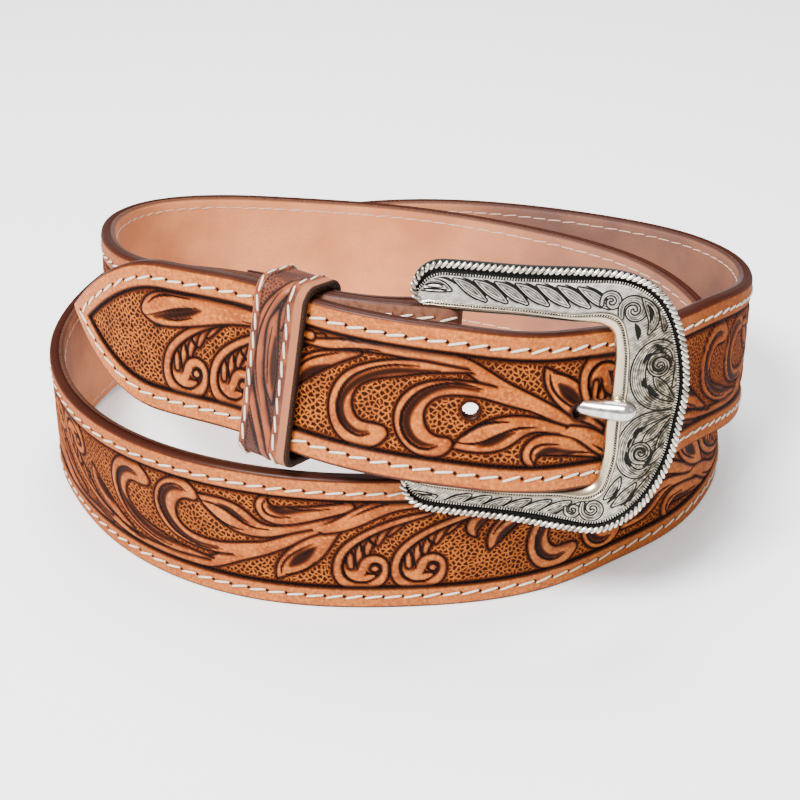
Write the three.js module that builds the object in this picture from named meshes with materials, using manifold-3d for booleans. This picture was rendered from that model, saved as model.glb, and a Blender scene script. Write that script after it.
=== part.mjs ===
// A fastened western dress belt, coiled in two turns and standing on its lower edge.
// Millimetres, +Z up, the buckle towards -Y, the origin under the middle of the coil.
import * as THREE from "three";
import { mergeVertices } from "three/addons/utils/BufferGeometryUtils.js";
import Module from "manifold-3d";

const wasm = await Module();
wasm.setup();

// Strap: two layers of leather with a small gap between them.
const STRAP_HALF_WIDTH = 19;
const OUTER_FACE = 2.0;
const OUTER_BACK = -0.35;
const LINING_FACE = -0.65;
const LINING_BACK = -2.0;
const OUTER_CHAMFER = 0.6;
const LINING_INSET = 0.25;
const LINING_CHAMFER = 0.45;
const STATION_STEP = 5;
const TIP_LENGTH = 36;
const TIP_POWER_ABOVE = 0.96;
const TIP_POWER_BELOW = 0.85;
const TIP_DROP = 0.9;
const FIRST_BEARING = -72.7;
const LAST_BEARING = 725.5;

// The lower edge is flattened where the coil rests, and the lining ends just above that.
const REST_HEIGHT = 0.15;
const LINING_REST_GAP = 0.3;

// Holes for the tongue, measured along the strap from the tip.
const FIRST_HOLE = 116.6;
const HOLE_PITCH = 25.4;
const HOLE_COUNT = 3;
const USED_HOLE = 1;
const HOLE_RADIUS = 2.0;

// Fold of the strap round the buckle bar, and the tab turned back behind it.
const BAR_RADIUS = 2.0;
const BAR_SETBACK = 2.7;
const FOLD_STEPS = 12;
const TAB_LENGTH = 50;
const TAB_BACK_OFFSET = 2.65;
const TAB_CLOSING_LENGTH = 16;
const TAB_END_FACE = 0.9;
const TAB_SKIVE_LENGTH = 22;
const LINING_STOP = 9;
const SLOT_HALF_HEIGHT = 3.2;

// Keeper loop round both strands.
const KEEPER_AT = 70.3;
const KEEPER_WIDTH = 14;
const KEEPER_WALL = 2.0;
const KEEPER_FRONT = 2.5;
const KEEPER_REAR = -9.3;
const KEEPER_TOP = 19.9;
const KEEPER_BOTTOM = -21.2;
const KEEPER_CORNER = 4.4;

// Buckle frame, seen in its own plane: x towards the tongue's tip, z up.
const BUCKLE_TURN = 2.3;
const BUCKLE_DROP = 0.4;
const WINDOW_DROP = 0.9;
const BAR_X = -23;
const BAR_DEPTH = -6.3;
const BOW_RADIUS = 160;
const PLATE_BACK = -2.0;
const LUG_HALF_WIDTH = 2.6;
const LUG_BOTTOM = 20.4;
const LUG_TOP = 21.3;

const TONGUE_RADIUS = 1.6;
const TONGUE_TIP_X = 22.4;
const TONGUE_TIP_DEPTH = 1.25;
const TONGUE_RISE = 0.9;
const TONGUE_DROP = -0.2;
const RING_OUTER = 4.0;
const RING_GAP = 0.3;
const RING_HALF_HEIGHT = 1.8;

// The strap's path: bearing in degrees round the coil from the front, reach of the strap's mid-line
// from the coil's centre, height of its lower edge, and lean of its top outwards in degrees.
const PATH_ROWS = [
  { bearing: -75, reach: 87.5, foot: 41.5, lean: -1 },
  { bearing: -60, reach: 82, foot: 43, lean: -5 },
  { bearing: -45, reach: 76.5, foot: 44.5, lean: -8 },
  { bearing: -30, reach: 74, foot: 45.5, lean: -10 },
  { bearing: -15, reach: 77, foot: 44.7, lean: -11 },
  { bearing: 0, reach: 81.4, foot: 43.5, lean: -12 },
  { bearing: 15, reach: 85.8, foot: 42.1, lean: -11.5 },
  { bearing: 30, reach: 86.5, foot: 39.7, lean: -9.5 },
  { bearing: 45, reach: 84.4, foot: 34.3, lean: -4 },
  { bearing: 60, reach: 85, foot: 30, lean: -1 },
  { bearing: 75, reach: 88, foot: 24, lean: -0.5 },
  { bearing: 90, reach: 92.2, foot: 17, lean: 0 },
  { bearing: 105, reach: 96.7, foot: 12, lean: 2 },
  { bearing: 120, reach: 96.3, foot: 9, lean: 3 },
  { bearing: 135, reach: 90.5, foot: 7.5, lean: 3 },
  { bearing: 150, reach: 85, foot: 7, lean: 2.5 },
  { bearing: 180, reach: 82.5, foot: 6, lean: 0.5 },
  { bearing: 210, reach: 85.5, foot: 4.5, lean: -1.5 },
  { bearing: 240, reach: 95.3, foot: 2, lean: -3 },
  { bearing: 255, reach: 96.5, foot: 0.8, lean: -3 },
  { bearing: 270, reach: 95.7, foot: 0.2, lean: -1.5 },
  { bearing: 285, reach: 92.2, foot: 0, lean: 3 },
  { bearing: 300, reach: 88.6, foot: 0, lean: 4 },
  { bearing: 330, reach: 80.3, foot: 0, lean: 1 },
  { bearing: 345, reach: 76.5, foot: 0, lean: 1.5 },
  { bearing: 360, reach: 74.1, foot: 0, lean: 2 },
  { bearing: 390, reach: 75.2, foot: 0, lean: 2.5 },
  { bearing: 405, reach: 76, foot: 0, lean: 2 },
  { bearing: 420, reach: 80, foot: 0, lean: 0.5 },
  { bearing: 435, reach: 83.6, foot: 0, lean: -1 },
  { bearing: 450, reach: 86.5, foot: 0, lean: -2.5 },
  { bearing: 480, reach: 83.6, foot: 2.8, lean: -1 },
  { bearing: 495, reach: 79, foot: 3.6, lean: -0.5 },
  { bearing: 510, reach: 75, foot: 4.5, lean: 0 },
  { bearing: 540, reach: 72, foot: 8, lean: 0 },
  { bearing: 570, reach: 74, foot: 14, lean: 0 },
  { bearing: 600, reach: 83.7, foot: 22, lean: 0 },
  { bearing: 630, reach: 79.5, foot: 31, lean: -1.5 },
  { bearing: 645, reach: 77.3, foot: 35, lean: -2.5 },
  { bearing: 660, reach: 74.7, foot: 38.3, lean: -4 },
  { bearing: 675, reach: 71.2, foot: 41, lean: -7 },
  { bearing: 690, reach: 69.8, foot: 43, lean: -9.5 },
  { bearing: 705, reach: 72.7, foot: 43.3, lean: -10.5 },
  { bearing: 720, reach: 74.1, foot: 42.6, lean: -10.5 },
  { bearing: 735, reach: 77.5, foot: 41.6, lean: -10 },
];

// Upper half of the buckle frame: points of its outer and its inner outline that face each other.
// The lower half mirrors it, with the window reaching down a little further.
const FRAME_ROWS = [
  { outerX: -31.3, outerZ: 22.0, innerX: -30.6, innerZ: 21.2 },
  { outerX: -31.2, outerZ: 25.0, innerX: -28.6, innerZ: 20.7 },
  { outerX: -29.4, outerZ: 28.1, innerX: -26.6, innerZ: 20.6 },
  { outerX: -26.4, outerZ: 30.0, innerX: -24.2, innerZ: 20.6 },
  { outerX: -22.0, outerZ: 30.6, innerX: -20.5, innerZ: 20.6 },
  { outerX: -14.0, outerZ: 30.6, innerX: -13.5, innerZ: 20.6 },
  { outerX: -5.0, outerZ: 30.8, innerX: -5.5, innerZ: 20.6 },
  { outerX: 4.0, outerZ: 31.4, innerX: 2.2, innerZ: 20.6 },
  { outerX: 12.0, outerZ: 31.9, innerX: 8.6, innerZ: 20.4 },
  { outerX: 18.0, outerZ: 31.4, innerX: 12.5, innerZ: 19.5 },
  { outerX: 23.5, outerZ: 29.3, innerX: 15.4, innerZ: 17.7 },
  { outerX: 28.0, outerZ: 25.3, innerX: 16.4, innerZ: 14.6 },
  { outerX: 31.3, outerZ: 19.3, innerX: 16.8, innerZ: 11.3 },
  { outerX: 33.5, outerZ: 12.0, innerX: 16.8, innerZ: 7.4 },
  { outerX: 34.5, outerZ: 4.0, innerX: 16.8, innerZ: 2.6 },
];

// Section of the frame: distance from its outer or inner outline, and height over the plate's face.
const FRAME_SECTION = [
  { from: "outer", inset: 0.5, height: PLATE_BACK },
  { from: "outer", inset: 0, height: -1.7 },
  { from: "outer", inset: 0, height: 0.2 },
  { from: "outer", inset: 0.5, height: 0.8 },
  { from: "outer", inset: 1.5, height: 0.8 },
  { from: "outer", inset: 2.1, height: -0.1 },
  { from: "outer", inset: 3.2, height: 0.2 },
  { from: "inner", inset: 3.0, height: 0.2 },
  { from: "inner", inset: 0.3, height: -0.7 },
  { from: "inner", inset: 0, height: -1.1 },
  { from: "inner", inset: 1.0, height: PLATE_BACK },
];

const radians = THREE.MathUtils.degToRad;
const smooth = (x) => x * x * (3 - 2 * x);

/** Natural cubic spline through the points (knots, values). */
function naturalSpline(knots, values) {
  const n = knots.length;
  const bend = new Array(n).fill(0);
  const scratch = new Array(n).fill(0);
  for (let i = 1; i < n - 1; i++) {
    const left = knots[i] - knots[i - 1];
    const right = knots[i + 1] - knots[i];
    const slopeRight = (values[i + 1] - values[i]) / right;
    const slopeLeft = (values[i] - values[i - 1]) / left;
    const pivot = 2 * (left + right) - left * bend[i - 1];
    bend[i] = right / pivot;
    scratch[i] = (6 * (slopeRight - slopeLeft) - left * scratch[i - 1]) / pivot;
  }
  const second = new Array(n).fill(0);
  for (let i = n - 2; i > 0; i--) second[i] = scratch[i] - bend[i] * second[i + 1];
  return (x) => {
    let i = 0;
    while (i < n - 2 && x > knots[i + 1]) i++;
    const span = knots[i + 1] - knots[i];
    const a = (knots[i + 1] - x) / span;
    const b = 1 - a;
    const curved = ((a ** 3 - a) * second[i] + (b ** 3 - b) * second[i + 1]) * (span ** 2 / 6);
    return a * values[i] + b * values[i + 1] + curved;
  };
}

/** Closed solid through a row of rings with the same number of points, capped at both ends. */
function loft(rings) {
  const count = rings[0].length;
  const points = rings.flat();
  const positions = points.flatMap((p) => [p.x, p.y, p.z]);
  const index = [];
  for (let i = 0; i + 1 < rings.length; i++) {
    for (let j = 0; j < count; j++) {
      const a = i * count + j;
      const b = i * count + ((j + 1) % count);
      const [c, d] = [a + count, b + count];
      if (points[b].distanceTo(points[c]) < points[a].distanceTo(points[d])) {
        index.push(a, b, c, b, d, c);
      } else {
        index.push(a, b, d, a, d, c);
      }
    }
  }
  const last = (rings.length - 1) * count;
  for (let j = 1; j + 1 < count; j++) {
    index.push(0, j + 1, j);
    index.push(last, last + j, last + j + 1);
  }
  const geometry = new THREE.BufferGeometry();
  geometry.setAttribute("position", new THREE.Float32BufferAttribute(positions, 3));
  geometry.setIndex(index);
  return geometry;
}

/** Solid of a closed geometry. */
function toSolid(geometry) {
  const bare = geometry.clone();
  bare.deleteAttribute("normal");
  bare.deleteAttribute("uv");
  const merged = mergeVertices(bare, 1e-4);
  return new wasm.Manifold(
    new wasm.Mesh({
      numProp: 3,
      vertProperties: merged.attributes.position.array,
      triVerts: new Uint32Array(merged.index.array),
    }),
  );
}

/** Geometry of a solid. */
function toGeometry(solid) {
  const mesh = solid.getMesh();
  const geometry = new THREE.BufferGeometry();
  geometry.setAttribute("position", new THREE.Float32BufferAttribute(mesh.vertProperties, 3));
  geometry.setIndex(Array.from(mesh.triVerts));
  return geometry;
}

/** Point of a frame {origin, along, up, out} at the given coordinates. */
function place(frame, along, up, out) {
  return frame.origin
    .clone()
    .addScaledVector(frame.along, along)
    .addScaledVector(frame.up, up)
    .addScaledVector(frame.out, out);
}

/** Matrix whose x, y and z axes are the frame's along, out and up. */
function frameMatrix(frame) {
  const inward = frame.out.clone().negate();
  return new THREE.Matrix4()
    .makeBasis(frame.along, inward, frame.up)
    .setPosition(frame.origin);
}

/** Frames along the strap, as a function of the distance from its tip. */
function strapPath() {
  const column = (name) => PATH_ROWS.map((row) => row[name]);
  const bearings = column("bearing");
  const reach = naturalSpline(bearings, column("reach"));
  const foot = naturalSpline(bearings, column("foot"));
  const lean = naturalSpline(bearings, column("lean"));
  const midPoint = (bearing) => {
    const angle = radians(bearing);
    const height = foot(bearing) + STRAP_HALF_WIDTH * Math.cos(radians(lean(bearing)));
    return new THREE.Vector3(
      reach(bearing) * Math.sin(angle),
      -reach(bearing) * Math.cos(angle),
      height,
    );
  };
  const samples = 4000;
  const at = [];
  const travelled = [0];
  for (let i = 0; i <= samples; i++) {
    at.push(THREE.MathUtils.lerp(FIRST_BEARING, LAST_BEARING, i / samples));
    if (i > 0) travelled.push(travelled[i - 1] + midPoint(at[i]).distanceTo(midPoint(at[i - 1])));
  }
  const length = travelled[samples];
  const frameAt = (distance) => {
    let low = 0;
    let high = samples;
    while (high - low > 1) {
      const middle = (low + high) >> 1;
      if (travelled[middle] <= distance) low = middle;
      else high = middle;
    }
    const part = (distance - travelled[low]) / (travelled[high] - travelled[low]);
    const bearing = THREE.MathUtils.lerp(at[low], at[high], part);
    const along = midPoint(bearing + 0.05).sub(midPoint(bearing - 0.05)).normalize();
    const plumb = new THREE.Vector3(0, 0, 1).addScaledVector(along, -along.z).normalize();
    const level = along.clone().cross(plumb);
    const tilt = radians(lean(bearing));
    const up = plumb.clone().multiplyScalar(Math.cos(tilt)).addScaledVector(level, Math.sin(tilt));
    return { origin: midPoint(bearing), along, up, out: along.clone().cross(up) };
  };
  return { length, frameAt };
}

/** Distances from the tip at which the strap's section is placed. */
function stations(length) {
  const list = [0.4, 1, 2, 3.5, 5.5, 8, 11, 14.5, 18.5, 23, 28, 33];
  const rest = Math.ceil((length - 38) / STATION_STEP);
  for (let i = 0; i <= rest; i++) list.push(THREE.MathUtils.lerp(38, length, i / rest));
  return list;
}

/** The strap's upper and lower edge at a distance from its tip, over its mid-line. */
function edges(distance) {
  const part = Math.min(distance / TIP_LENGTH, 1);
  const middle = -TIP_DROP * (1 - part);
  const reach = (power) => STRAP_HALF_WIDTH * Math.sin((Math.PI / 2) * part ** power);
  return { top: middle + reach(TIP_POWER_ABOVE), bottom: middle - reach(TIP_POWER_BELOW) };
}

/** Ring of the outer leather in a frame; face is the height of its grain side. */
function outerRing(frame, { top, bottom }, face) {
  const chamfer = Math.min(OUTER_CHAMFER, (top - bottom) * 0.2);
  return [
    place(frame, 0, top, face - chamfer),
    place(frame, 0, top - chamfer, face),
    place(frame, 0, bottom + chamfer, face),
    place(frame, 0, bottom, face - chamfer),
    place(frame, 0, bottom, OUTER_BACK),
    place(frame, 0, top, OUTER_BACK),
  ];
}

/** Ring of the lining in a frame. */
function liningRing(frame, { top, bottom }) {
  const high = top - LINING_INSET;
  const low = bottom + LINING_INSET;
  const chamfer = Math.min(LINING_CHAMFER, (high - low) * 0.2);
  return [
    place(frame, 0, low, LINING_FACE),
    place(frame, 0, low, LINING_BACK + chamfer),
    place(frame, 0, low + chamfer, LINING_BACK),
    place(frame, 0, high - chamfer, LINING_BACK),
    place(frame, 0, high, LINING_BACK + chamfer),
    place(frame, 0, high, LINING_FACE),
  ];
}

/** Frames of the fold round the bar and of the tab behind the strap. */
function foldFrames(path, end) {
  const frames = [];
  const centre = place(end, 0, 0, -BAR_SETBACK);
  for (let i = 1; i <= FOLD_STEPS; i++) {
    const turn = (Math.PI * i) / FOLD_STEPS;
    const out = end.out.clone().multiplyScalar(Math.cos(turn)).addScaledVector(end.along, Math.sin(turn));
    const along = end.along.clone().multiplyScalar(Math.cos(turn)).addScaledVector(end.out, -Math.sin(turn));
    const origin = centre.clone().addScaledVector(out, BAR_SETBACK);
    frames.push({ origin, along, up: end.up, out, face: OUTER_FACE });
  }
  const steps = Math.ceil(TAB_LENGTH / 4);
  for (let i = 1; i <= steps; i++) {
    const back = (TAB_LENGTH * i) / steps;
    const frame = path.frameAt(path.length - back);
    const closed = smooth(Math.min(back / TAB_CLOSING_LENGTH, 1));
    const offset = THREE.MathUtils.lerp(2 * BAR_SETBACK, TAB_BACK_OFFSET, closed);
    frames.push({
      origin: place(frame, 0, 0, -offset),
      along: frame.along.clone().negate(),
      up: frame.up,
      out: frame.out.clone().negate(),
      face: THREE.MathUtils.lerp(OUTER_FACE, TAB_END_FACE, Math.min(back / TAB_SKIVE_LENGTH, 1)),
    });
  }
  return frames;
}

/** Round bar between two points. */
function rod(from, to, radius, sides) {
  const length = from.distanceTo(to);
  const geometry = new THREE.CylinderGeometry(radius, radius, length, sides);
  const direction = to.clone().sub(from).normalize();
  const turn = new THREE.Quaternion().setFromUnitVectors(new THREE.Vector3(0, 1, 0), direction);
  geometry.applyQuaternion(turn);
  geometry.translate(...from.clone().add(to).multiplyScalar(0.5).toArray());
  return geometry;
}

/** Frame of the buckle, hung on the fold of the strap. */
function bucklePose(end) {
  const turn = radians(BUCKLE_TURN);
  const along = end.along.clone().multiplyScalar(Math.cos(turn)).addScaledVector(end.out, -Math.sin(turn));
  const out = end.out.clone().multiplyScalar(Math.cos(turn)).addScaledVector(end.along, Math.sin(turn));
  const bar = place(end, 0, 0, -BAR_SETBACK);
  const origin = bar.addScaledVector(along, -BAR_X).addScaledVector(out, -BAR_DEPTH);
  origin.addScaledVector(end.up, -BUCKLE_DROP);
  return { origin, along, up: end.up, out };
}

/** Point of the buckle over its bowed face. */
function onBuckle(pose, x, z, height) {
  return place(pose, x, z, height - (x * x) / (2 * BOW_RADIUS));
}

/** The tongue's axis: its root at the bar and its tip on the frame. */
function tongueAxis(pose) {
  const root = place(pose, BAR_X + RING_OUTER - 0.8, TONGUE_RISE, BAR_DEPTH + 0.8);
  const tip = place(pose, TONGUE_TIP_X, TONGUE_DROP, TONGUE_TIP_DEPTH);
  return { root, tip };
}

function buildOuter(path, pose) {
  const end = path.frameAt(path.length);
  const rings = stations(path.length).map((distance) =>
    outerRing(path.frameAt(distance), edges(distance), OUTER_FACE),
  );
  for (const frame of foldFrames(path, end)) {
    rings.push(outerRing(frame, edges(path.length), frame.face));
  }
  let solid = toSolid(loft(rings));
  for (const cutter of holeCutters(path, pose)) solid = solid.subtract(toSolid(cutter));
  const slot = new THREE.BoxGeometry(20, 16, 2 * SLOT_HALF_HEIGHT);
  slot.applyMatrix4(frameMatrix({ ...end, origin: place(end, -2, 0, -BAR_SETBACK) }));
  return toGeometry(solid.subtract(toSolid(slot)).trimByPlane([0, 0, 1], REST_HEIGHT));
}

/** Cutters of the round holes, and of the slanting one that the tongue passes through. */
function holeCutters(path, pose) {
  const cutters = [];
  for (let i = 0; i < HOLE_COUNT; i++) {
    if (i === USED_HOLE) continue;
    const frame = path.frameAt(FIRST_HOLE + HOLE_PITCH * i);
    const inside = place(frame, 0, 0, LINING_BACK - 1);
    const outside = place(frame, 0, 0, OUTER_FACE + 1);
    cutters.push(rod(inside, outside, HOLE_RADIUS, 16));
  }
  const { root, tip } = tongueAxis(pose);
  cutters.push(rod(root.clone().lerp(tip, 0.45), tip, TONGUE_RADIUS + 0.35, 16));
  return cutters;
}

function buildLining(path, pose) {
  const stop = path.length - LINING_STOP;
  const rings = stations(path.length)
    .filter((distance) => distance >= 1 && distance <= stop)
    .map((distance) => liningRing(path.frameAt(distance), edges(distance)));
  let solid = toSolid(loft(rings));
  for (const cutter of holeCutters(path, pose)) solid = solid.subtract(toSolid(cutter));
  return toGeometry(solid.trimByPlane([0, 0, 1], REST_HEIGHT + LINING_REST_GAP));
}

/** Rounded rectangle as a shape or a path. */
function roundedRectangle(target, left, right, bottom, top, radius) {
  target.moveTo(left + radius, bottom);
  target.lineTo(right - radius, bottom);
  target.absarc(right - radius, bottom + radius, radius, -Math.PI / 2, 0, false);
  target.lineTo(right, top - radius);
  target.absarc(right - radius, top - radius, radius, 0, Math.PI / 2, false);
  target.lineTo(left + radius, top);
  target.absarc(left + radius, top - radius, radius, Math.PI / 2, Math.PI, false);
  target.lineTo(left, bottom + radius);
  target.absarc(left + radius, bottom + radius, radius, Math.PI, 1.5 * Math.PI, false);
  return target;
}

function buildKeeper(path) {
  const wall = KEEPER_WALL;
  const inner = [KEEPER_REAR, KEEPER_FRONT, KEEPER_BOTTOM, KEEPER_TOP];
  const outer = [inner[0] - wall, inner[1] + wall, inner[2] - wall, inner[3] + wall];
  const shape = roundedRectangle(new THREE.Shape(), ...outer, KEEPER_CORNER);
  shape.holes.push(roundedRectangle(new THREE.Path(), ...inner, KEEPER_CORNER - wall));
  const bevel = 0.5;
  const geometry = new THREE.ExtrudeGeometry(shape, {
    depth: KEEPER_WIDTH - 2 * bevel,
    bevelThickness: bevel,
    bevelSize: bevel,
    bevelOffset: -bevel,
    bevelSegments: 1,
    curveSegments: 6,
  });
  geometry.translate(0, 0, bevel - KEEPER_WIDTH / 2);
  const frame = path.frameAt(KEEPER_AT);
  const basis = new THREE.Matrix4()
    .makeBasis(frame.out, frame.up, frame.along.clone().negate())
    .setPosition(frame.origin);
  geometry.applyMatrix4(basis);
  return geometry;
}

/** Pairs of outline points round the whole frame, from its upper left end to its lower one. */
function outlinePairs() {
  const lower = FRAME_ROWS.map((row) => ({
    ...row,
    outerZ: -row.outerZ,
    innerZ: -row.innerZ - (WINDOW_DROP * row.innerZ) / 20,
  }));
  const rows = [...FRAME_ROWS, ...lower.reverse()];
  const knots = rows.map((_, i) => i);
  const names = ["outerX", "outerZ", "innerX", "innerZ"];
  const curves = names.map((name) => naturalSpline(knots, rows.map((row) => row[name])));
  const perRow = 3;
  const pairs = [];
  for (let i = 0; i <= (rows.length - 1) * perRow; i++) {
    pairs.push(curves.map((curve) => curve(i / perRow)));
  }
  return pairs;
}

function buildFrame(pose) {
  const rings = outlinePairs().map(([outerX, outerZ, innerX, innerZ]) => {
    const outer = new THREE.Vector2(outerX, outerZ);
    const inner = new THREE.Vector2(innerX, innerZ);
    const width = outer.distanceTo(inner);
    const shrink = Math.min(1, width / 9);
    return FRAME_SECTION.map((point) => {
      const inset = (point.inset * shrink) / width;
      const flat = outer.clone().lerp(inner, point.from === "outer" ? inset : 1 - inset);
      return onBuckle(pose, flat.x, flat.y, point.height);
    });
  });
  let solid = toSolid(loft(rings));
  const low = place(pose, BAR_X, -LUG_TOP + 0.2, BAR_DEPTH);
  const high = place(pose, BAR_X, LUG_TOP - 0.2, BAR_DEPTH);
  solid = solid.add(toSolid(rod(low, high, BAR_RADIUS, 24)));
  const lugFront = -(BAR_X ** 2) / (2 * BOW_RADIUS) - 1;
  const lugBack = BAR_DEPTH - BAR_RADIUS - 0.4;
  for (const side of [-1, 1]) {
    const size = [2 * LUG_HALF_WIDTH, lugFront - lugBack, LUG_TOP - LUG_BOTTOM];
    const lug = new THREE.BoxGeometry(...size);
    const middle = place(pose, BAR_X, (side * (LUG_TOP + LUG_BOTTOM)) / 2, (lugFront + lugBack) / 2);
    lug.applyMatrix4(frameMatrix({ ...pose, origin: middle }));
    solid = solid.add(toSolid(lug));
  }
  return toGeometry(solid);
}

function buildTongue(pose) {
  const { root, tip } = tongueAxis(pose);
  const length = root.distanceTo(tip);
  const radius = TONGUE_RADIUS;
  const profile = [[0, 0], [radius * 0.8, 0], [radius * 0.85, length * 0.5], [radius, length * 0.8]];
  for (let i = 0; i <= 5; i++) {
    const turn = (Math.PI / 2) * (i / 6);
    const nose = 1.9 * radius;
    profile.push([radius * Math.cos(turn), length - nose + nose * Math.sin(turn)]);
  }
  profile.push([0, length]);
  const points = profile.map(([x, y]) => new THREE.Vector2(x, y));
  const shank = new THREE.LatheGeometry(points, 16);
  const direction = tip.clone().sub(root).normalize();
  const turn = new THREE.Quaternion().setFromUnitVectors(new THREE.Vector3(0, 1, 0), direction);
  shank.applyQuaternion(turn);
  shank.translate(...root.toArray());
  const ringBase = place(pose, BAR_X, TONGUE_RISE - RING_HALF_HEIGHT, BAR_DEPTH);
  const ringTop = place(pose, BAR_X, TONGUE_RISE + RING_HALF_HEIGHT, BAR_DEPTH);
  const ring = toSolid(rod(ringBase, ringTop, RING_OUTER, 28));
  const boreBase = place(pose, BAR_X, -8, BAR_DEPTH);
  const boreTop = place(pose, BAR_X, 8, BAR_DEPTH);
  const bore = toSolid(rod(boreBase, boreTop, BAR_RADIUS + RING_GAP, 28));
  return toGeometry(ring.add(toSolid(shank)).subtract(bore));
}

// Shift that puts the middle of the underside of the whole belt's box at the origin.
const SHIFT = [1.1, 2.15, -REST_HEIGHT];

const belt = new THREE.Group();
belt.name = "western_belt";

function addPiece(name, geometry, colour, metalness, roughness) {
  const material = new THREE.MeshStandardMaterial({ color: colour, metalness, roughness });
  material.name = name;
  geometry.translate(...SHIFT);
  geometry.computeVertexNormals();
  const mesh = new THREE.Mesh(geometry, material);
  mesh.name = name;
  belt.add(mesh);
}

const path = strapPath();
const pose = bucklePose(path.frameAt(path.length));

addPiece("strap_outer", buildOuter(path, pose), 0xa8622c, 0, 0.55);
addPiece("strap_lining", buildLining(path, pose), 0xc99a7c, 0, 0.8);
addPiece("keeper_loop", buildKeeper(path), 0x7c432a, 0, 0.6);
addPiece("buckle_frame", buildFrame(pose), 0xb9b4a8, 1, 0.3);
addPiece("buckle_tongue", buildTongue(pose), 0xcfcac0, 1, 0.25);

export default belt;
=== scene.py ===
"""A fastened western dress belt of tooled leather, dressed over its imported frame.

The classes work in millimetres, in the frame's own axes, and turn to metres where a mesh is made.
"""
import logging
import math
from dataclasses import dataclass, field
from enum import Enum
from typing import Any, Callable, NamedTuple, Optional, Sequence, Union

import bpy
import numpy as np
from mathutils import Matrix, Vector


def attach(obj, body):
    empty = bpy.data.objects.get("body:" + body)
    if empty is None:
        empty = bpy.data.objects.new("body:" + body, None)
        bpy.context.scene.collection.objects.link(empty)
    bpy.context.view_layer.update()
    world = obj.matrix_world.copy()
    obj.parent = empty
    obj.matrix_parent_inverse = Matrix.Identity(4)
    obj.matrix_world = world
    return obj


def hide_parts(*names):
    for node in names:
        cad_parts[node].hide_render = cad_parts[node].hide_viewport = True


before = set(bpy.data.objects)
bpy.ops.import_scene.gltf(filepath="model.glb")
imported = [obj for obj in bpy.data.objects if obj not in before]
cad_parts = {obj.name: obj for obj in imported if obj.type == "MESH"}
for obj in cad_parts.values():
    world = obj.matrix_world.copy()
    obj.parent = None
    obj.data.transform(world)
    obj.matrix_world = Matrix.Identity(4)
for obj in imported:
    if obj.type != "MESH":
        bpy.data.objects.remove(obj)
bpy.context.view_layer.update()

log = logging.getLogger("western_belt")
Array = np.ndarray
MM = 0.001
COAT_ROUGHNESS = 0.34
# Millimetres that count as far off a worked stroke.
FAR = 9.0


class PathRow(NamedTuple):
    """One place on the coiled strap.

    Bearing in degrees round the coil, reach of the mid-line from the coil's centre, height of the
    lower edge, and lean of the top outwards in degrees.
    """

    bearing: float
    reach: float
    foot: float
    lean: float


PATH_ROWS = [PathRow(*row) for row in (
    (-75, 87.5, 41.5, -1), (-60, 82, 43, -5), (-45, 76.5, 44.5, -8), (-30, 74, 45.5, -10),
    (-15, 77, 44.7, -11), (0, 81.4, 43.5, -12), (15, 85.8, 42.1, -11.5), (30, 86.5, 39.7, -9.5),
    (45, 84.4, 34.3, -4), (60, 85, 30, -1), (75, 88, 24, -0.5), (90, 92.2, 17, 0),
    (105, 96.7, 12, 2), (120, 96.3, 9, 3), (135, 90.5, 7.5, 3), (150, 85, 7, 2.5),
    (180, 82.5, 6, 0.5), (210, 85.5, 4.5, -1.5), (240, 95.3, 2, -3), (255, 96.5, 0.8, -3),
    (270, 95.7, 0.2, -1.5), (285, 92.2, 0, 3), (300, 88.6, 0, 4), (330, 80.3, 0, 1),
    (345, 76.5, 0, 1.5), (360, 74.1, 0, 2), (390, 75.2, 0, 2.5), (405, 76, 0, 2),
    (420, 80, 0, 0.5), (435, 83.6, 0, -1), (450, 86.5, 0, -2.5), (480, 83.6, 2.8, -1),
    (495, 79, 3.6, -0.5), (510, 75, 4.5, 0), (540, 72, 8, 0), (570, 74, 14, 0),
    (600, 83.7, 22, 0), (630, 79.5, 31, -1.5), (645, 77.3, 35, -2.5), (660, 74.7, 38.3, -4),
    (675, 71.2, 41, -7), (690, 69.8, 43, -9.5), (705, 72.7, 43.3, -10.5), (720, 74.1, 42.6, -10.5),
    (735, 77.5, 41.6, -10),
)]


class OutlineRow(NamedTuple):
    """Facing points of the buckle frame's outer and inner outline, in the buckle's plane."""

    outer_x: float
    outer_z: float
    inner_x: float
    inner_z: float


FRAME_ROWS = [OutlineRow(*row) for row in (
    (-29.0, 22.0, -28.4, 21.3), (-30.3, 25.0, -27.0, 20.5), (-29.1, 28.7, -25.2, 20.1),
    (-26.0, 31.1, -23.0, 20.0), (-21.6, 31.7, -19.8, 20.0), (-14.0, 31.8, -13.4, 20.0),
    (-5.0, 31.8, -5.5, 20.0), (4.0, 32.1, 2.2, 19.6), (12.0, 32.1, 8.6, 19.4),
    (18.0, 31.4, 12.5, 19.2), (23.5, 29.3, 15.4, 17.7), (28.0, 25.3, 16.4, 14.6),
    (31.3, 19.3, 16.8, 11.3), (33.5, 12.0, 16.8, 7.4), (34.5, 4.0, 16.8, 2.6),
)]


class Look(Enum):
    """How a stroke of the ornament is worked."""

    RAISED = "raised"
    JOINED = "joined"
    LINE = "line"
    HOLLOW = "hollow"


class Stroke(NamedTuple):
    """One worked stroke: its look and a few (x, y, width) places along it."""

    look: Look
    places: tuple


# Short names for the tables of strokes.
R, J, L, H = Look.RAISED, Look.JOINED, Look.LINE, Look.HOLLOW

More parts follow.
